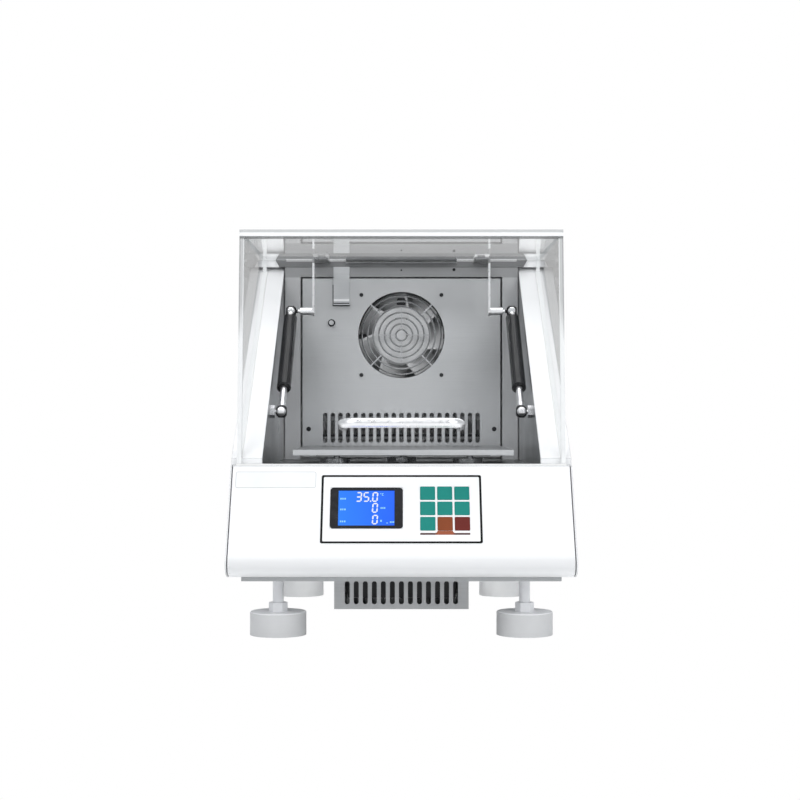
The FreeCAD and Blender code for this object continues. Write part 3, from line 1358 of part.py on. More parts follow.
def make_inlet():
    x, z = s.inlet_x, s.inlet_z
    half_w = s.inlet_width / 2
    half_h = s.inlet_height / 2
    y = panel_y
    edge = s.inlet_sheet + s.fit_gap
    flange = box(x - half_w, x + half_w, y, y + s.inlet_sheet, z - half_h, z + half_h)
    block = box(x - half_w + edge, x + half_w - edge, y - 26, y, z - half_h + edge, z + half_h - edge)
    socket_z = z - half_h + 5 + s.socket_height / 2
    recess = box(x - s.socket_width / 2, x + s.socket_width / 2, y + 2 - s.socket_depth, y + 2,
                 socket_z - s.socket_height / 2, socket_z + s.socket_height / 2)
    rocker_z = z + half_h - 5 - s.rocker_height / 2
    well = box(x - s.rocker_width / 2, x + s.rocker_width / 2, y - 6, y + 2,
               rocker_z - s.rocker_height / 2, rocker_z + s.rocker_height / 2)
    seat = rod("X", x - s.rocker_width / 2 - 2, y - s.rocker_depth, rocker_z, s.rocker_pin / 2 + s.pin_play,
               s.rocker_width + 4)
    pins = [box(x + a - 1, x + a + 1, y + 2 - s.socket_depth, y - 11, socket_z + b - 2, socket_z + b + 2)
            for a, b in ((-7, -2), (0, 2), (7, -2))]
    node("power_inlet", fuse(cut(fuse(flange, block), recess, well, seat), *pins))
    gap = s.fit_gap
    half = s.rocker_height / 2 - gap
    front = y - s.rocker_depth + s.rocker_face
    high = half - s.rocker_face / 3
    profile = [(front, rocker_z - half + s.rocker_face / 4), (front, rocker_z),
               (front + high * tangent(s.rocker_tilt), rocker_z + high - s.rocker_face / 3),
               (y - s.rocker_depth - 1, rocker_z + half), (y - s.rocker_depth - 4, rocker_z),
               (y - s.rocker_depth - 1, rocker_z - half)]
    lever = prism("rocker", profile, x - s.rocker_width / 2 + gap, x + s.rocker_width / 2 - gap)
    reach = s.rocker_width / 2 + 1.5
    axle = rod("X", x - reach, y - s.rocker_depth, rocker_z, s.rocker_pin / 2, 2 * reach)
    node("rocker_switch", fuse(lever, axle))


def make_screws():
    heads = []
    y = s.chamber_back
    high = as_size(1.2)
    for a in (-1, 1):
        for b in (-1, 1):
            heads.append(rod("Y", a * s.fan_pitch / 2, y - high, s.fan_centre + b * s.fan_pitch / 2,
                             as_size(2.6), high))
        heads.append(rod("Y", a * (panel_half - 8), y - high, slot_low + 18, as_size(3), high))
    node("panel_screws", group(*heads))


make_base_plate()
make_feet()
make_console()
make_keypad()
make_display()
make_side("side_panel_left", -1)
make_side("side_panel_right", 1)
make_rear_cover()
make_chamber()
make_back()
make_sensor()
make_heater()
make_guard()
make_fans()
make_vent_box()
make_drive()
make_platform()
make_hinge()
make_lid()
make_seal()
make_handle()
make_lid_brackets()
make_struts()
make_inlet()
make_screws()

doc.recompute()
for item in doc.Objects:
    if "Invalid" in item.State or "Error" in item.State:
        raise SystemExit(f"{item.Label}: {item.State}")
for item in nodes:
    if item.Shape.isNull() or not item.Shape.isValid() or not item.Shape.Solids:
        raise SystemExit(f"{item.Label}: no valid solid")

os.makedirs("parts", exist_ok=True)
for item in nodes:
    item.Shape.exportStep(f"parts/{item.Label}.step")
print(len(nodes), "nodes")
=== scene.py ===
import math

import bmesh
import bpy
from mathutils import Matrix, Vector


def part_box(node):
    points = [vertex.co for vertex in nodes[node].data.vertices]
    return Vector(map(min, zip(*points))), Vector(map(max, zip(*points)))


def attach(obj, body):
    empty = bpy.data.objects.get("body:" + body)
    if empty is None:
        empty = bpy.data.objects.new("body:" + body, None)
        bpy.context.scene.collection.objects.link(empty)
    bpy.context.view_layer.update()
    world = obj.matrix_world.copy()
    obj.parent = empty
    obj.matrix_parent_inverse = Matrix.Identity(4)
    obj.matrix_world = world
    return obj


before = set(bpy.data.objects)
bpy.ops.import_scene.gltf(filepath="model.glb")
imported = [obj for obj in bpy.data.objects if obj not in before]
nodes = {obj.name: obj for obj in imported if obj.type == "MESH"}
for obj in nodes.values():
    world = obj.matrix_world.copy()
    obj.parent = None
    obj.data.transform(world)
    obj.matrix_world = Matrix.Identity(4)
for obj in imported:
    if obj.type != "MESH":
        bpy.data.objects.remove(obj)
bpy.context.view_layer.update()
scene = bpy.context.scene

MM = 0.001


# Nodes

def blank_tree(owner):
    """The node tree of a material or world, emptied."""
    owner.use_nodes = True
    owner.node_tree.nodes.clear()
    return owner.node_tree


def feed(tree, socket, value):
    """Links another node's output to a socket, or sets the socket to a plain value."""
    if isinstance(value, bpy.types.NodeSocket):
        tree.links.new(value, socket)
    elif socket.type == "RGBA":
        socket.default_value = (*value, 1.0)
    else:
        socket.default_value = value


def add_node(tree, kind, **values):
    """A new node; each value goes to the input of that name, or to the property where there is none."""
    made = tree.nodes.new(kind)
    for key, value in values.items():
        socket = key.replace("_", " ")
        if socket in made.inputs:
            feed(tree, made.inputs[socket], value)
        else:
            setattr(made, key, value)
    return made


def dimmed(colour, share):
    return tuple(part * share for part in colour)


class Look:
    """A procedural material around one Principled shader, in object coordinates (metres)."""

    def __init__(self, name, colour, roughness, metallic=0.0, **sockets):
        self.material = bpy.data.materials.new(name)
        self.material.diffuse_color = (*colour, 1.0)
        self.tree = blank_tree(self.material)
        self.shader = self.node("ShaderNodeBsdfPrincipled", Roughness=roughness, Metallic=metallic,
                                **sockets)
        self.node("ShaderNodeOutputMaterial", Surface=self.shader.outputs[0])
        self.normal = None
        self.coat(colour)

    def node(self, kind, **values):
        return add_node(self.tree, kind, **values)

    def put(self, socket, value):
        feed(self.tree, self.shader.inputs[socket], value)

    def coat(self, tone):
        """Makes a tone the base colour, from which a later layer starts."""
        self.painted = tone
        self.put("Base Color", tone)

    def cover(self, share, tone):
        """Lays another tone over the base colour where its share is 1."""
        self.coat(self.mix(share, self.painted, tone))

    def glow(self, tone, strength):
        self.put("Emission Color", tone)
        self.put("Emission Strength", strength)

    # Values

    def calculate(self, operation, *values):
        made = self.node("ShaderNodeMath", operation=operation)
        for socket, value in zip(made.inputs, values):
            feed(self.tree, socket, value)
        return made.outputs[0]

    def measure(self, operation, *vectors):
        """One number from vectors."""
        made = self.node("ShaderNodeVectorMath", operation=operation)
        for socket, value in zip(made.inputs, vectors):
            feed(self.tree, socket, value)
        return made.outputs["Value"]

    def span(self, source, low, high, start=0.3, end=0.7):
        """Runs from low to high while the source runs from start to end; the defaults suit a noise."""
        made = self.node("ShaderNodeMapRange", Value=source, From_Min=start, From_Max=end,
                         To_Min=low, To_Max=high)
        return made.outputs["Result"]

    def rise(self, source, start=0.3, end=0.7):
        return self.span(source, 0.0, 1.0, start, end)

    def fall(self, source, start, end):
        return self.span(source, 1.0, 0.0, start, end)

    def within(self, source, low, high):
        """1 between two values, 0 outside."""
        above = self.calculate("GREATER_THAN", source, low)
        below = self.calculate("LESS_THAN", source, high)
        return self.calculate("MULTIPLY", above, below)

    def mix(self, factor, first, second, blend="MIX"):
        """The first colour where the factor is 0, the second where it is 1."""
        mixer = self.node("ShaderNodeMix", data_type="RGBA", blend_type=blend, Factor=factor)
        feed(self.tree, mixer.inputs[6], first)
        feed(self.tree, mixer.inputs[7], second)
        return mixer.outputs[2]

    # Places

    def coords(self, stretch=(1, 1, 1)):
        where = self.node("ShaderNodeTexCoord")
        return self.node("ShaderNodeMapping", Scale=stretch, Vector=where.outputs["Object"]).outputs[0]

    def place(self):
        """Object coordinates, by their letters."""
        return self.node("ShaderNodeSeparateXYZ", Vector=self.coords()).outputs

    def facing(self):
        """The direction that the surface faces, by its letters."""
        where = self.node("ShaderNodeTexCoord")
        return self.node("ShaderNodeSeparateXYZ", Vector=where.outputs["Normal"]).outputs

    def distance(self, place, centre_x, centre_z):
        """Distance from a line along Y."""
        flat = self.node("ShaderNodeCombineXYZ", X=self.calculate("SUBTRACT", place["X"], centre_x),
                         Z=self.calculate("SUBTRACT", place["Z"], centre_z))
        return self.measure("LENGTH", flat.outputs[0])

    # Textures

    def noise(self, scale, detail=3.0, stretch=(1, 1, 1), rough=0.55):
        made = self.node("ShaderNodeTexNoise", Scale=scale, Detail=detail, Roughness=rough,
                         Vector=self.coords(stretch))
        return made.outputs["Fac"]

    def cloud(self, scale, detail=4, end=0.7):
        """Soft patches from 0 to 1."""
        return self.rise(self.noise(scale, detail), 0.35, end)

    def grain(self, axis):
        """Fine brush lines along one axis."""
        stretch = {"X": (4, 260, 260), "Y": (260, 4, 260), "Z": (260, 260, 4)}[axis]
        return self.noise(5, 4, stretch, rough=0.7)

    def streaks(self, grain):
        return self.rise(grain, 0.3, 0.75)

    def dull(self, source, low, high):
        self.put("Roughness", self.span(source, low, high))

    def bump(self, source, strength, distance=0.0001):
        made = self.node("ShaderNodeBump", Strength=strength, Distance=distance, Height=source)
        if self.normal is not None:
            feed(self.tree, made.inputs["Normal"], self.normal)
        self.normal = made.outputs["Normal"]
        self.put("Normal", self.normal)


# Kinds of surface. Each takes its colour, the shade of its patches or streaks and its mean roughness

def powder_coat(name, colour, shade, roughness=0.38):
    look = Look(name, colour, roughness, Specular_IOR_Level=0.45)
    look.cover(look.cloud(9, end=0.75), shade)
    look.dull(look.noise(60), roughness - 0.05, roughness + 0.08)
    look.bump(look.noise(900, 2), 0.10)
    look.bump(look.noise(160, 2), 0.06, 0.0002)
    return look


def brushed(name, colour, shade, axis="X", roughness=0.32):
    look = Look(name, colour, roughness, 1.0)
    grain = look.grain(axis)
    look.cover(look.streaks(grain), shade)
    look.dull(look.noise(14), roughness - 0.06, roughness + 0.1)
    look.bump(grain, 0.12)
    return look


def plastic(name, colour, shade, roughness=0.45, pores=700, shine=0.45):
    look = Look(name, colour, roughness, Specular_IOR_Level=shine)
    look.cover(look.cloud(30), shade)
    look.dull(look.noise(120), roughness - 0.06, roughness + 0.08)
    look.bump(look.noise(pores, 2), 0.12)
    return look


def tool_marks(look):
    look.bump(look.noise(700, 2, (1, 1, 6)), 0.08)


def machined(name, colour, shade, roughness):
    look = Look(name, colour, roughness, 1.0)
    look.cover(look.cloud(60), shade)
    look.dull(look.noise(200), roughness - 0.06, roughness + 0.12)
    tool_marks(look)
    return look


# White paint

WHITE = (0.86, 0.865, 0.87)
WHITE_CLOUD = (0.82, 0.825, 0.83)
# Painted shade along sharp edges: its tone, its share and its reach
WHITE_EDGE_SHADE = (0.42, 0.425, 0.43)
EDGE_SHADE_SHARE = 0.9
EDGE_SHADE_RADIUS = 0.0018
BENT = (0.86, 0.99)
SIDEWAYS = (0.3, 0.6)
# Heights of the console's painted shade where its face folds under, and of the painted light on its
# lowest strip
FOLD_SHADE_Z = (0.0876, 0.094)
LOWEST_LIGHT_Z = (0.0715, 0.0785)
# Heights over which painted shade comes in on the rims' upper ends
RIM_SHADE_Z = (0.335, 0.39)


def shaded_edges(look):
    """Painted shade along sharp edges: the paint is greyer where the surface bends."""
    bevel = look.node("ShaderNodeBevel", samples=4, Radius=EDGE_SHADE_RADIUS)
    geometry = look.node("ShaderNodeNewGeometry")
    same = look.measure("DOT_PRODUCT", bevel.outputs["Normal"], geometry.outputs["Normal"])
    look.cover(look.span(same, EDGE_SHADE_SHARE, 0.0, *BENT), WHITE_EDGE_SHADE)


def white_paint(name):
    look = powder_coat(name, WHITE, WHITE_CLOUD)
    shaded_edges(look)
    return look


def console_paint(name):
    """White paint, with painted shade where the face folds under and painted light along its lowest
    strip, which is lighter again.
    """
    look = powder_coat(name, WHITE, WHITE_CLOUD)
    height = look.place()["Z"]
    look.cover(look.fall(height, *FOLD_SHADE_Z), (0.72, 0.725, 0.73))
    shaded_edges(look)
    look.cover(look.fall(height, *LOWEST_LIGHT_Z), (0.96, 0.965, 0.97))
    return look


def rim_paint(name):
    """White paint; painted shade makes the sloped rims darker towards their upper ends."""
    look = powder_coat(name, WHITE, WHITE_CLOUD)
    sideways = look.calculate("ABSOLUTE", look.facing()["X"])
    upper = look.rise(look.place()["Z"], *RIM_SHADE_Z)
    look.cover(look.calculate("MULTIPLY", look.fall(sideways, *SIDEWAYS), upper), (0.7, 0.705, 0.71))
    shaded_edges(look)
    return look


# Clear sheets

ACRYLIC_IOR = 1.49
PALE_TINTS = ((0.9, 0.92, 0.92), (0.94, 0.95, 0.95))
SMOKE_TINTS = ((0.3, 0.31, 0.31), (0.36, 0.37, 0.37))
FROST_TINTS = ((0.8, 0.82, 0.82), (0.9, 0.91, 0.91))
EVEN = (1.0, 1.0, 1.0)
POLISH = 0.02
SAWN = 0.45
FACE_ON = (0.6, 0.9)
LEAST_BOUNCE = 0.03
MOST_HAZE = 0.025
EDGE_ALPHA = 0.9
LEAN_BLUR = 0.004
RIM_BLUR = 0.0006


def clear_sheet(name, normal, marks=(), tints=PALE_TINTS, most=0.85, rim=None, graze=EVEN, lean=None):
    """Clear sheet: its faces mirror at low angles and its edges are frosted.

    The most is the reflected part that counts as a full mirror. A mark is a band along X (on either side)
    or Z, with its tint, its share and, if it fades in, the two heights of the fade. The frost is darker
    above the rim. Below the leaning line (slope, level, share) the mirror keeps that share only.
    """
    look = Look(name, (0.93, 0.95, 0.95), POLISH)
    where = look.node("ShaderNodeTexCoord")
    across, deep, height = look.node("ShaderNodeSeparateXYZ", Vector=where.outputs["Object"]).outputs
    across = look.calculate("ABSOLUTE", across)
    flat = look.calculate("ABSOLUTE", look.measure("DOT_PRODUCT", where.outputs["Normal"], normal))
    edge = look.fall(flat, *FACE_ON)

    bounce = look.node("ShaderNodeFresnel", IOR=ACRYLIC_IOR).outputs[0]
    outside = look.fall(look.node("ShaderNodeNewGeometry").outputs["Backfacing"], 0.0, 1.0)
    mirror = look.calculate("MULTIPLY", look.rise(bounce, LEAST_BOUNCE, most), outside)
    if lean is not None:
        slope, level, kept = lean
        above = look.calculate("MULTIPLY_ADD", deep, -slope, height)
        mirror = look.calculate("MULTIPLY", mirror,
                                look.span(above, kept, 1.0, level - LEAN_BLUR, level + LEAN_BLUR))
    haze = look.span(look.noise(22, 4), 0.0, MOST_HAZE, 0.4, 0.8)
    alpha = look.calculate("ADD", mirror, haze)

    tint = look.mix(look.rise(look.noise(40)), *tints)
    matt = edge
    for axis, low, high, shade, share, *fade in marks:
        band = look.within(height if axis == "Z" else across, low, high)
        if fade:
            band = look.calculate("MULTIPLY", band, look.rise(height, *fade))
        tint = look.mix(band, tint, shade)
        alpha = look.span(band, alpha, share, 0.0, 1.0)
        matt = look.calculate("MAXIMUM", matt, band)
    frost = look.mix(look.rise(look.noise(500, 2)), *FROST_TINTS)
    if rim is not None:
        frost = look.mix(look.rise(height, rim, rim + RIM_BLUR), frost, (0.5, 0.51, 0.51))

    look.coat(look.mix(edge, tint, frost))
    look.put("Specular Tint", graze)
    look.put("Alpha", look.span(edge, alpha, EDGE_ALPHA, 0.0, 1.0))
    look.put("Metallic", look.fall(matt, 0.0, 1.0))
    look.put("Roughness", look.span(matt, POLISH, SAWN, 0.0, 1.0))
    look.bump(look.noise(6, 2), 0.02, 0.0003)
    return look


# Looks of single pieces. Heights and depths are the photograph's changes of shade, in metres

# Painted light on the frame's foot; painted shade on its top, its upper band and its lip
FRAME_FOOT_LIGHT_Z = (0.21, 0.26)
FRAME_SHADE_LAYERS = (
    ((0.36, 0.4), (0.5, 0.503, 0.507)),
    ((0.4215, 0.4235), (0.32, 0.322, 0.325)),
    ((0.4355, 0.4358), (0.2, 0.202, 0.204)),
)
# Painted shade towards the back of the side walls
WALL_SHADE_Y = (0.04, 0.12)
# Painted light on the back panel's foot and painted shade on its top
PANEL_FOOT_LIGHT_Z = (0.215, 0.31)
PANEL_TOP_SHADE_Z = (0.35, 0.385)
# Painted shade in the gap across the heater fins
FIN_SHADE_Z = (0.2135, 0.2225)
PAD_TOP_Z = (0.0249, 0.0252)
BRACKET_BEND_Z = (0.4355, 0.4363)
UPWARD = (0.5, 0.8)
BALL_X = 0.141
BALL_SHADE = 0.0035
BALL_BLUR = 0.0004
FAN_Z = 0.347
FAN_CAP = (0.0392, 0.0398)


def frame_look(name):
    """Brushed frame with painted light and shade: brighter at its foot, darker at its top and upper band,
    nearly black on the shaded lip.
    """
    look = brushed(name, (0.68, 0.685, 0.69), (0.61, 0.615, 0.62), "Z", 0.4)
    height = look.place()["Z"]
    look.cover(look.fall(height, *FRAME_FOOT_LIGHT_Z), (0.82, 0.825, 0.83))
    for heights, tone in FRAME_SHADE_LAYERS:
        look.cover(look.rise(height, *heights), tone)
    return look


def wall_look(name):
    """Brushed side walls, with painted shade making them darker towards the back."""
    look = brushed(name, (0.46, 0.47, 0.48), (0.39, 0.4, 0.41), "Y")
    look.cover(look.rise(look.place()["Y"], *WALL_SHADE_Y), (0.31, 0.315, 0.32))
    return look


def panel_look(name):
    """Brushed back panel, with painted shade towards its top and painted light towards its foot."""
    look = brushed(name, (0.6, 0.61, 0.615), (0.55, 0.56, 0.565), "X", 0.42)
    height = look.place()["Z"]
    look.cover(look.fall(height, *PANEL_FOOT_LIGHT_Z), (0.78, 0.79, 0.795))
    look.cover(look.rise(height, *PANEL_TOP_SHADE_Z), (0.49, 0.497, 0.501))
    return look


def fin_look(name):
    """Heater fins with painted shade across them: a dark band where the gap lies in shadow."""
    look = Look(name, (0.34, 0.343, 0.347), 0.45, 1.0)
    look.cover(look.cloud(60), (0.26, 0.263, 0.267))
    look.cover(look.within(look.place()["Z"], *FIN_SHADE_Z), (0.02, 0.02, 0.022))
    look.dull(look.noise(200), 0.4, 0.55)
    tool_marks(look)
    return look


def foot_look(name):
    """Grey pad; lighter zinc on the nut and the stud, and painted light in the same tone on whatever
    faces up.
    """
    look = Look(name, (0.6, 0.605, 0.61), 0.45)
    cloud = look.cloud(30)
    look.cover(cloud, (0.56, 0.565, 0.57))
    zinc_and_lit_top = look.mix(cloud, (0.92, 0.925, 0.94), (0.87, 0.875, 0.89))
    upward = look.rise(look.facing()["Z"], *UPWARD)
    above_pad = look.rise(look.place()["Z"], *PAD_TOP_Z)
    # Zinc on the stud and nut above the pad, and painted light on the pad's faces that look up
    look.cover(look.calculate("MAXIMUM", upward, above_pad), zinc_and_lit_top)
    look.dull(look.noise(120), 0.4, 0.54)
    look.bump(look.noise(700, 2), 0.12)
    return look


def bracket_look(name):
    """Bright machined arm below the bend; above it a duller flange, darkened by painted shade."""
    look = Look(name, (0.95, 0.953, 0.956), 0.3, 1.0)
    cloud = look.cloud(60)
    look.cover(cloud, (0.88, 0.883, 0.886))
    flange = look.mix(cloud, (0.34, 0.343, 0.347), (0.28, 0.283, 0.287))
    # Painted shade on the flange above the bend
    look.cover(look.rise(look.place()["Z"], *BRACKET_BEND_Z), flange)
    look.dull(look.noise(200), 0.24, 0.4)
    tool_marks(look)
    return look


def tray_look(name):
    """Brushed tray; painted shade makes its upper face duller and darker than its folded edges."""
    look = Look(name, (0.76, 0.77, 0.775), 0.34, 1.0)
    grain = look.grain("X")
    streaks = look.streaks(grain)
    look.cover(streaks, (0.68, 0.69, 0.695))
    top = look.mix(streaks, (0.32, 0.325, 0.33), (0.27, 0.275, 0.28))
    # Painted shade on the faces that look up
    look.cover(look.rise(look.facing()["Z"], *UPWARD), top)
    look.dull(look.noise(14), 0.3, 0.44)
    look.bump(grain, 0.04)
    return look


def ball_look(name, colour, metal, roughness, ball_z, ball_radius, socket_radius):
    """A strut's own colour, with a bright ball in a dark socket at its pivot, on either side: a painted
    highlight tops the ball, painted shade fills its lower half, and the socket ring is dark partly in its
    own colour and partly as painted shade of the ball's outline.
    """
    look = Look(name, colour, roughness, Specular_IOR_Level=0.18)
    place = look.place()
    aside = {"X": look.calculate("ABSOLUTE", place["X"]), "Z": place["Z"]}
    away = look.distance(aside, BALL_X, ball_z)
    on_ball = look.fall(away, ball_radius, ball_radius + BALL_BLUR)
    in_socket = look.fall(away, socket_radius, socket_radius + BALL_BLUR)
    # Painted highlight on the ball's upper half and painted shade on its lower half
    upper = look.rise(place["Z"], ball_z - BALL_SHADE, ball_z)
    shine = look.mix(upper, (0.34, 0.34, 0.345), (0.95, 0.95, 0.955))
    look.cover(look.cloud(160, 3), dimmed(colour, 0.88))
    look.cover(in_socket, (0.012, 0.012, 0.013))
    look.cover(on_ball, shine)
    own_metal = look.span(in_socket, metal, 0.0, 0.0, 1.0)
    look.put("Metallic", look.calculate("MAXIMUM", own_metal, on_ball))
    look.dull(look.noise(200), roughness - 0.04, roughness + 0.08)
    look.bump(look.noise(500, 2), 0.008)
    return look


def impeller_look(name, cap, blade):
    """The circulation fan's cap and, beyond its radius, the blades."""
    look = Look(name, cap, 0.42)
    blades = look.rise(look.distance(look.place(), 0.0, FAN_Z), *FAN_CAP)
    cloud = look.cloud(60)
    look.cover(cloud, dimmed(cap, 0.93))
    look.cover(blades, look.mix(cloud, blade, dimmed(blade, 0.85)))
    look.dull(look.noise(120), 0.36, 0.5)
    look.bump(look.noise(700, 2), 0.1)
    return look


# What each solid wears

FRONT_LEAN = math.radians(6.5)
FRONT_NORMAL = (0, -math.cos(FRONT_LEAN), math.sin(FRONT_LEAN))
PAST_SIDE = 0.19
PAST_TOP = 0.46
# Marks on the front sheet: along both glued side joints a white band of painted light, turning into grey
# bands of painted shade towards the top; near the top edge a dark line with a white band above it
FRONT_MARKS = (
    ("X", 0.1766, PAST_SIDE, (0.86, 0.87, 0.87), 0.75),
    ("X", 0.1772, PAST_SIDE, (0.5, 0.505, 0.505), 0.85, 0.325, 0.37),
    ("X", 0.1799, PAST_SIDE, (0.4, 0.405, 0.405), 0.75, 0.32, 0.365),
    ("Z", 0.4397, 0.4426, (0.16, 0.165, 0.165), 0.6),
    ("Z", 0.4426, PAST_TOP, (0.88, 0.89, 0.89), 0.85),
)

white = white_paint("white_paint")

LOOKS = (
    (white, "rear_cover"),
    (rim_paint("rim_paint"), "side_panel_left side_panel_right"),
    (console_paint("console_paint"), "front_console"),
    (powder_coat("plate_steel", (0.41, 0.42, 0.425), (0.36, 0.37, 0.375), 0.45), "base_plate"),
    (brushed("stainless_x", (0.62, 0.63, 0.635), (0.55, 0.56, 0.565)), "sensor_cover"),
    # Painted shade: the chamber floor and the tray's carrier are dark steel, as in the shade under the
    # tray
    (brushed("shaded_floor_steel", (0.1, 0.102, 0.104), (0.08, 0.082, 0.084), "X", 0.4),
     "chamber_floor platform_carrier"),
    (wall_look("stainless_y"), "chamber_walls"),
    (panel_look("panel_steel"), "back_panel"),
    (frame_look("frame_steel"), "back_frame"),
    (brushed("vent_steel", (0.46, 0.465, 0.47), (0.4, 0.405, 0.41), "X", 0.4), "vent_box"),
    (plastic("black_plastic", (0.022, 0.022, 0.025), (0.035, 0.035, 0.038)),
     "fan_frame exhaust_fan_frame exhaust_fan_wheel power_inlet rocker_switch"),
    (machined("chrome", (0.96, 0.96, 0.965), (0.9, 0.9, 0.905), 0.3), "lid_handle"),
    (machined("turned_steel", (0.6, 0.605, 0.61), (0.5, 0.505, 0.51), 0.26),
     "main_crank idler_crank_left idler_crank_right motor_pulley"),
    (plastic("seal_rubber", (0.82, 0.82, 0.81), (0.78, 0.78, 0.77), 0.6), "rim_seal"),
    (plastic("overlay_film", (0.84, 0.845, 0.85), (0.8, 0.805, 0.81), 0.34, 1500), "key_overlay"),
    (plastic("bezel_plastic", (0.008, 0.008, 0.01), (0.014, 0.014, 0.016), 0.2, 1200), "display_bezel"),
    (plastic("circuit_board", (0.02, 0.16, 0.07), (0.015, 0.12, 0.05), 0.4), "control_board"),
    (plastic("teal_key", (0.012, 0.225, 0.19), (0.01, 0.2, 0.17), 0.5, 1600, 0.15),
     "key_1 key_2 key_3 key_4 key_5 key_6 key_7"),
    (plastic("orange_key", (0.23, 0.057, 0.02), (0.2, 0.05, 0.017), 0.5, 1600, 0.15), "key_8"),
    (plastic("red_key", (0.14, 0.021, 0.016), (0.12, 0.018, 0.014), 0.5, 1600, 0.15), "key_9"),
    (powder_coat("motor_iron", (0.05, 0.05, 0.055), (0.035, 0.035, 0.04), 0.5), "drive_motor"),
    (plastic("belt_rubber", (0.015, 0.015, 0.015), (0.03, 0.03, 0.03), 0.7), "drive_belt"),
    (machined("cast_housing", (0.22, 0.225, 0.23), (0.15, 0.155, 0.16), 0.55), "bearing_housings"),
    (ball_look("strut_black", (0.008, 0.008, 0.009), 0.0, 0.18, 0.3745, 0.0048, 0.0085),
     "strut_tube_left strut_tube_right"),
    (ball_look("rod_steel", (0.88, 0.88, 0.89), 1.0, 0.3, 0.246, 0.0052, 0.0078),
     "strut_rod_left strut_rod_right"),
    (machined("stud_steel", (0.86, 0.86, 0.87), (0.78, 0.78, 0.79), 0.22), "lower_ball_studs"),
    (foot_look("foot_plastic"), "foot_front_left foot_front_right foot_rear_left foot_rear_right"),
    (tray_look("platform_steel"), "platform"),
    (clear_sheet("acrylic_front", FRONT_NORMAL, FRONT_MARKS), "lid_front"),
    (clear_sheet("acrylic_top", (0, 0, 1), most=0.76, rim=0.4464), "lid_top"),
    (clear_sheet("acrylic_side", (1, 0, 0), tints=SMOKE_TINTS, most=0.94, graze=SMOKE_TINTS[0],
                 lean=(0.62, 0.3943, 0.25)), "lid_sides"),
    (impeller_look("impeller", (0.73, 0.735, 0.74), (0.75, 0.753, 0.757)), "fan_wheel"),
    (machined("guard_wire", (0.64, 0.645, 0.65), (0.57, 0.575, 0.58), 0.3), "fan_guard"),
    (bracket_look("bracket_steel"), "lid_brackets"),
    (machined("hinge_steel", (0.17, 0.173, 0.177), (0.13, 0.133, 0.137), 0.34),
     "hinge_body_leaf hinge_lid_leaf"),
    (machined("black_screws", (0.03, 0.03, 0.032), (0.05, 0.05, 0.052), 0.4), "panel_screws"),
    (fin_look("dark_fins"), "heater"),
)


def dress(thing, look):
    thing.data.materials.clear()
    thing.data.materials.append(look.material)


for look, names in LOOKS:
    for name in names.split():
        dress(nodes[name], look)


# Display: lit blue field, brighter at its left

FIELD_X = (-0.068, -0.007)


def lit_field():
    look = Look("display_field", (0.01, 0.03, 0.12), 0.12, Specular_IOR_Level=0.2, Coat_Weight=0.15)
    right = look.rise(look.place()["X"], *FIELD_X)
    cloud = look.mix(look.rise(look.noise(30, 2)), (0.0, 0.0, 0.0), (0.004, 0.01, 0.02))
    blue = look.mix(right, (0.022, 0.212, 0.95), (0.013, 0.115, 0.9))
    look.glow(look.mix(1.0, blue, cloud, "ADD"), 0.95)
    return look


dress(nodes["display_glass"], lit_field())


# Plates from outlines, in millimetres

CORNER_STEPS = 6


def arc(x, u, radius, start, turn, steps):
    """Points of an arc about a centre, from the start through the turn, in degrees."""
    angles = [math.radians(start + turn * step / steps) for step in range(steps + 1)]
    return [(x + radius * math.cos(angle), u + radius * math.sin(angle)) for angle in angles]


def rounded(x0, x1, u0, u1, radius):
    """Rounded rectangle, counterclockwise."""
    left, right, low, high = x0 + radius, x1 - radius, u0 + radius, u1 - radius
    points = []
    for x, u, start in ((right, high, 0), (left, high, 90), (left, low, 180), (right, low, 270)):
        points += arc(x, u, radius, start, 90, CORNER_STEPS)
    return points


def disc(x, u, radius, count=20):
    return arc(x, u, radius, 0, 360, count)[:-1]


def block(x, u, width, height):
    return [(x, u), (x + width, u), (x + width, u + height), (x, u + height)]


def row(x, u, pitch, widths, height):
    return [block(x + pitch * step, u, width, height) for step, width in enumerate(widths)]


def ring(made, points, height):
    return [made.verts.new((x * MM, u * MM, height * MM)) for x, u in points]


def join_rings(made, first, second):
    count = len(first)
    for i in range(count):
        k = (i + 1) % count
        made.faces.new((first[i], first[k], second[k], second[i]))


def plates_mesh(name, plates):
    """Flat plates: each an outline, its two heights and its hole, or None."""
    made = bmesh.new()
    for outline, low, high, hole in plates:
        top = ring(made, outline, high)
        bottom = ring(made, outline, low)
        if hole is None:
            made.faces.new(top)
            made.faces.new(list(reversed(bottom)))
        else:
            inner_top = ring(made, hole, high)
            inner_bottom = ring(made, hole, low)
            join_rings(made, top, inner_top)
            join_rings(made, inner_bottom, bottom)
            join_rings(made, inner_top, inner_bottom)
        join_rings(made, bottom, top)
    bmesh.ops.recalc_face_normals(made, faces=made.faces)
    mesh = bpy.data.meshes.new(name)
    made.to_mesh(mesh)
    made.free()
    return mesh


def new_piece(name, plates, look, body, matrix=None):
    mesh = plates_mesh(name, plates)
    thing = bpy.data.objects.new(name, mesh)
    scene.collection.objects.link(thing)
    if matrix is not None:
        mesh.transform(matrix)
    dress(thing, look)
    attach(thing, body)


# Pieces drawn flat on the console's face: X to the right, U up the slope, height out of it

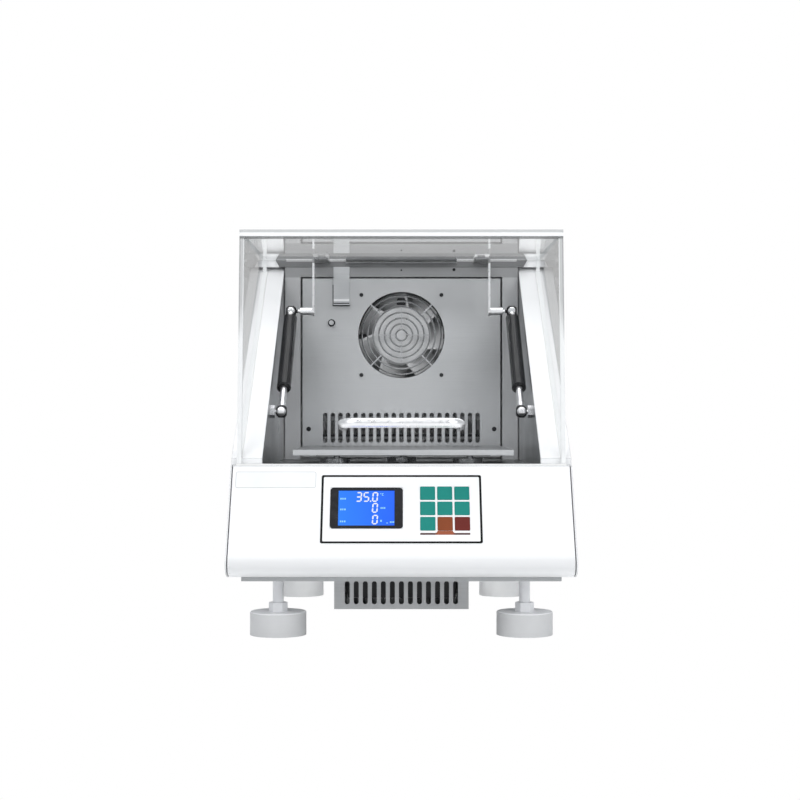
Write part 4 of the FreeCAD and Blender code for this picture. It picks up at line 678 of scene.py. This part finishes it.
FACE_LEAN = math.radians(31)
FACE_Y = -0.249942
FACE_Z = 0.102969
FACE = Matrix((
    (1, 0, 0, 0),
    (0, math.sin(FACE_LEAN), -math.cos(FACE_LEAN), FACE_Y),
    (0, math.cos(FACE_LEAN), math.sin(FACE_LEAN), FACE_Z),
    (0, 0, 0, 1)))
FILM_TOP = 0.8
GLASS_TOP = 0.4
LABEL_OUTLINE = rounded(-181.6, -93.4, 69.2, 89.4, 2.4)
LABEL_HOLE = rounded(-181.1, -93.9, 69.7, 88.9, 1.9)


def face_piece(name, outlines, low, high, look, hole=None):
    new_piece(name, [(outline, low, high, hole) for outline in outlines], look, "case", FACE)


ink = plastic("black_ink", (0.004, 0.004, 0.004), (0.007, 0.007, 0.007), 0.5, 1500, 0.12)
face_piece("overlay_outline", [rounded(-87.3, 87.3, 1.4, 84.8, 2.2)], FILM_TOP, FILM_TOP + 0.06, ink,
           hole=rounded(-84.9, 84.9, 3.8, 82.4, 1.2))
patch = plastic("label_face", (0.8, 0.815, 0.815), (0.76, 0.78, 0.78), 0.4, 1500)
face_piece("label_plate", [LABEL_OUTLINE], 0.0, 0.35, patch)
rim_grey = plastic("label_rim", (0.52, 0.525, 0.53), (0.47, 0.475, 0.48), 0.5, 1500)
face_piece("label_rim", [LABEL_OUTLINE], 0.3, 0.38, rim_grey, hole=LABEL_HOLE)


# Printed bar under the lowest keys, orange in its middle and dark red at both ends

STRIP_X = (20.3, 73.9)
STRIP_U = (11.7, 13.9)
STRIP_BENDS = (36.3, 57.9)
BEND_RADIUS = 2.6
BEND_STEPS = 4
STRIP_LEFT = (0.0355, 0.039)
STRIP_RIGHT = (0.055, 0.0585)


def strip_look(name):
    look = Look(name, (0.34, 0.078, 0.026), 0.36)
    across = look.place()["X"]
    ends = look.calculate("MAXIMUM", look.rise(across, *STRIP_RIGHT), look.fall(across, *STRIP_LEFT))
    look.coat(look.mix(ends, (0.3, 0.07, 0.024), (0.06, 0.012, 0.011)))
    look.bump(look.noise(1500, 2), 0.1)
    return look


def strip_outline():
    """A thin bar that flows up into the middle key of the bottom row."""
    left, right = STRIP_X
    low, high = STRIP_U
    centre = high + BEND_RADIUS
    return [(left, low), (right, low), (right, high),
            *arc(STRIP_BENDS[1], centre, BEND_RADIUS, 270, -90, BEND_STEPS),
            *arc(STRIP_BENDS[0], centre, BEND_RADIUS, 0, -90, BEND_STEPS),
            (left, high)]


face_piece("key_strip", [strip_outline()], FILM_TOP, FILM_TOP + 0.05, strip_look("printed_strip"))


# Display: seven-segment digits and small plain marks over the lit field

SEGMENTS = {"0": "abcdef", "3": "abcdg", "5": "acdfg"}
BAR = 1.5
BAR_GAP = 0.16 * BAR
SLANT = 0.08
DIGITS = (
    ("3", -50.0, 51.9, 6.6, 12.0),
    ("5", -41.9, 51.9, 6.6, 12.0),
    ("0", -32.2, 51.9, 6.3, 12.0),
    ("0", -32.3, 38.5, 6.3, 12.0),
    ("0", -32.2, 24.4, 6.3, 11.6),
)
POINT = block(-34.2, 51.9, 1.4, 1.5)


def lamp_look(name, colour, strength):
    look = Look(name, (0.02, 0.02, 0.03), 0.3)
    look.glow(look.mix(look.rise(look.noise(90, 2)), colour, dimmed(colour, 0.9)), strength)
    return look


def digit_bars(digit, x, u, width, height):
    """Six-sided bars of one seven-segment digit, from its lower left corner."""
    half = BAR / 2

    def bar(x0, u0, x1, u1):
        if u0 == u1:
            near, far = x0 + BAR_GAP, x1 - BAR_GAP
            corners = [(near, u0), (near + half, u0 - half), (far - half, u0 - half), (far, u0),
                       (far - half, u0 + half), (near + half, u0 + half)]
        else:
            near, far = u0 + BAR_GAP, u1 - BAR_GAP
            corners = [(x0, near), (x0 + half, near + half), (x0 + half, far - half), (x0, far),
                       (x0 - half, far - half), (x0 - half, near + half)]
        return [(x + a + SLANT * b, u + b) for a, b in corners]

    left, right = half, width - half
    low, middle, top = half, height / 2, height - half
    spans = {
        "a": (left, top, right, top),
        "b": (right, middle, right, top),
        "c": (right, low, right, middle),
        "d": (left, low, right, low),
        "e": (left, low, left, middle),
        "f": (left, middle, left, top),
        "g": (left, middle, right, middle),
    }
    return [bar(*spans[key]) for key in SEGMENTS[digit]]


bars = [bar for digit in DIGITS for bar in digit_bars(*digit)] + [POINT]
lit_white = lamp_look("display_white", (0.93, 0.96, 1.0), 0.95)
face_piece("display_digits", bars, GLASS_TOP, GLASS_TOP + 0.06, lit_white)

marks = []
for line_u in (54.7, 41.6, 27.0):
    marks += row(-66.4, line_u, 2.2, (1.5, 1.3, 1.6), 2.0)
marks += [block(-23.0, 61.4, 1.0, 1.0), block(-21.2, 59.6, 0.6, 2.8), block(-21.2, 61.8, 1.8, 0.6),
          block(-21.2, 59.6, 1.8, 0.6)]
marks += row(-22.6, 43.4, 1.9, (1.3, 1.3, 1.3), 1.9)
marks += [block(-22.8, 27.6, 1.6, 2.2), block(-16.2, 25.6, 1.6, 1.0)]
marks += row(-12.4, 26.2, 1.7, (1.1, 1.1, 1.1), 2.0)
lit_cyan = lamp_look("display_cyan", (0.36, 0.86, 1.0), 0.85)
face_piece("display_marks", marks, GLASS_TOP, GLASS_TOP + 0.05, lit_cyan)


# Small pieces in upright planes: X to the right, Z up, from their depth in metres towards the front

PANEL_Y = 0.138
COVER_Y = 0.1345
PROBE_FLANGE_Y = 0.135
LIP_Y = 0.1367
GUARD_BACK_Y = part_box("fan_guard")[1][1]
CLIP_OUTLINE = [(-6.0, 386.7), (5.5, 386.7), (6.0, 391.5), (4.2, 396.0), (-4.7, 396.0), (-6.5, 391.5)]
PROBE = (-91.5, 362.7)


def wall_piece(name, outlines, y, thick, look, hole=None):
    wall = Matrix(((1, 0, 0, 0), (0, 0, -1, y), (0, 1, 0, 0), (0, 0, 0, 1)))
    new_piece(name, [(outline, 0.0, thick, hole) for outline in outlines], look, "case", wall)


# Dark trim: the own colour of the clip and the screws, and painted shadow in the strips and ring beside
# the sensor cover and the probe
dark_trim_and_shadow = plastic("dark_trim_and_shadow", (0.006, 0.006, 0.007), (0.012, 0.012, 0.013), 0.8, 900, 0.05)
# Painted highlight for the sensor cover's lower lip
lip_highlight = machined("lip_highlight", (0.9, 0.905, 0.91), (0.82, 0.825, 0.83), 0.4)
line_grey = plastic("line_grey", (0.62, 0.622, 0.625), (0.56, 0.562, 0.565), 0.55)
wall_piece("guard_clip", [CLIP_OUTLINE], GUARD_BACK_Y + 0.002, 2.0, dark_trim_and_shadow)
# Painted shadow: dark strips along the sensor cover's left side and under it, where it stands off the
# panel
wall_piece("cover_shadow", [block(-90.2, 386.0, 1.3, 27.0), block(-90.2, 384.8, 22.6, 1.2)],
           PANEL_Y, 0.5, dark_trim_and_shadow)
# Painted highlight on the cover's lower lip, and painted shade in the slit below it
wall_piece("cover_lip_highlight", [block(-88.6, 391.4, 20.2, 2.4)], COVER_Y, 0.5, lip_highlight)
wall_piece("cover_slit_shadow", [block(-88.8, 386.2, 20.6, 2.9)], COVER_Y, 0.2, dark_trim_and_shadow)
# Painted shade: a dark ring around the probe
wall_piece("probe_shade_ring", [disc(*PROBE, 4.8)], PROBE_FLANGE_Y, 0.4, dark_trim_and_shadow,
           hole=disc(*PROBE, 3.1))
# A pale grey line along the lip over the back frame
lip_parts = [block(-151, 443.5, 78, 1.1), block(73, 443.5, 78, 1.1), block(-73, 441.9, 146, 1.0)]
wall_piece("lip_line", lip_parts, LIP_Y, 0.4, line_grey)
wall_piece("frame_screws", [disc(69.0, 432.7, 2.0), disc(0.0, 432.0, 1.2)],
           PANEL_Y, 0.7, dark_trim_and_shadow)


# Rear: screws, and pressed hoods over the louvres, each open along its right side

REAR_Y = 258.0
SCREW_PLACES = [(side * 172, z) for side in (-1, 1) for z in (92, 250, 408)] + [(-60, 425), (60, 425)]
LOUVRE_PITCH = 10
LOUVRE_COUNT = 21
LOUVRE_Z = (317, 377)
HOOD_PROFILE = [(-4.1, 0.0), (-2.2, 1.9), (3.4, 1.9), (3.4, 1.3), (-1.9, 1.3), (-3.2, 0.0)]
HOOD_CHEEK = [(-3.2, 0.0), (-1.9, 1.3), (3.4, 1.3), (3.4, 0.0)]
CHEEK_IN = 0.4
CHEEK_OUT = 1.2


def hood_plates():
    """Level slices: for each louvre the hood's skin and the cheeks that close its two ends."""
    low, high = LOUVRE_Z
    plates = []
    for index in range(LOUVRE_COUNT):
        x = LOUVRE_PITCH * (index - (LOUVRE_COUNT - 1) / 2)
        skin, cheek = ([(x + a, REAR_Y + b) for a, b in points] for points in (HOOD_PROFILE, HOOD_CHEEK))
        plates += [(skin, low - CHEEK_OUT, high + CHEEK_OUT, None),
                   (cheek, low - CHEEK_OUT, low - CHEEK_IN, None),
                   (cheek, high + CHEEK_IN, high + CHEEK_OUT, None)]
    return plates


screw_zinc = machined("screw_zinc", (0.5, 0.505, 0.51), (0.4, 0.405, 0.41), 0.35)
wall_piece("rear_screw_rims", [disc(x, z, 3.4) for x, z in SCREW_PLACES], (REAR_Y + 0.6) * MM, 0.6,
           screw_zinc)
wall_piece("rear_screw_heads", [disc(x, z, 2.4, 6) for x, z in SCREW_PLACES], (REAR_Y + 1.1) * MM, 0.5,
           screw_zinc)
new_piece("louvre_hoods", hood_plates(), white, "case")


# Stage: floor and backdrop, both plain white to the camera, and soft lights

PURE_WHITE = (1, 1, 1)
FLOOR_SIZE = 12
FLOOR_Z = -0.0003
LIGHTS = (
    ("key_light", (-1.4, -2.2, 2.2), (0, 0, 0.25), (1.6, 1.6), 38),
    ("fill_light", (1.6, -2.0, 1.5), (0, 0, 0.25), (1.8, 1.8), 24),
    ("top_light", (0, 0.2, 2.6), (0, 0, 0.3), (1.8, 1.8), 20),
    ("rear_light", (0.6, 2.4, 1.8), (0, 0, 0.25), (1.6, 1.6), 20),
    ("under_light", (0, -0.03, 0.059), (0, 0.2, 0.0), (0.3, 0.02), 0.5),
)


def swap_shaders(tree, factor, usual, seen):
    """The usual shader where the factor is 0, the one that is seen where it is 1."""
    mixer = add_node(tree, "ShaderNodeMixShader")
    for socket, value in zip(mixer.inputs, (factor, usual.outputs[0], seen.outputs[0])):
        feed(tree, socket, value)
    return mixer.outputs[0]


def floor_look():
    material = bpy.data.materials.new("floor_look")
    tree = blank_tree(material)
    path = add_node(tree, "ShaderNodeLightPath")
    paper = add_node(tree, "ShaderNodeBsdfDiffuse", Color=(0.86, 0.86, 0.86))
    glow = add_node(tree, "ShaderNodeEmission", Color=PURE_WHITE, Strength=1.0)
    both = swap_shaders(tree, path.outputs["Is Camera Ray"], paper, glow)
    add_node(tree, "ShaderNodeOutputMaterial", Surface=both)
    return material


def studio_world():
    world = bpy.data.worlds.new("studio")
    tree = blank_tree(world)
    path = add_node(tree, "ShaderNodeLightPath")
    through = add_node(tree, "ShaderNodeMath", operation="ADD", use_clamp=True)
    feed(tree, through.inputs[0], path.outputs["Is Camera Ray"])
    feed(tree, through.inputs[1], path.outputs["Is Transmission Ray"])
    soft = add_node(tree, "ShaderNodeBackground", Color=(0.93, 0.96, 1.0), Strength=0.55)
    clean = add_node(tree, "ShaderNodeBackground", Color=PURE_WHITE, Strength=1.0)
    add_node(tree, "ShaderNodeOutputWorld", Surface=swap_shaders(tree, through.outputs[0], soft, clean))
    return world


def area_light(name, location, target, size, power):
    data = bpy.data.lights.new(name, "AREA")
    data.shape = "RECTANGLE"
    data.size, data.size_y = size
    data.energy = power
    lamp = bpy.data.objects.new(name, data)
    scene.collection.objects.link(lamp)
    lamp.location = location
    lamp.rotation_euler = (Vector(target) - Vector(location)).to_track_quat("-Z", "Y").to_euler()


bpy.ops.mesh.primitive_plane_add(size=FLOOR_SIZE, location=(0, 0, FLOOR_Z))
plane = bpy.context.object
plane.name = "floor"
plane.data.materials.append(floor_look())
scene.world = studio_world()
for light in LIGHTS:
    area_light(*light)


# Camera, level, as in the photograph; the shifts are in its pixels

PHOTO_SIDE = 800
camera_data = bpy.data.cameras.new("camera")
camera_data.sensor_width = 36
camera_data.lens = 72
camera_data.shift_x = -1.4 / PHOTO_SIDE
camera_data.shift_y = 15 / PHOTO_SIDE
camera = bpy.data.objects.new("camera", camera_data)
scene.collection.objects.link(camera)
camera.location = (0, -1.962, 0.242)
camera.rotation_euler = (math.radians(90), 0, 0)
scene.camera = camera

scene.view_settings.view_transform = "Standard"
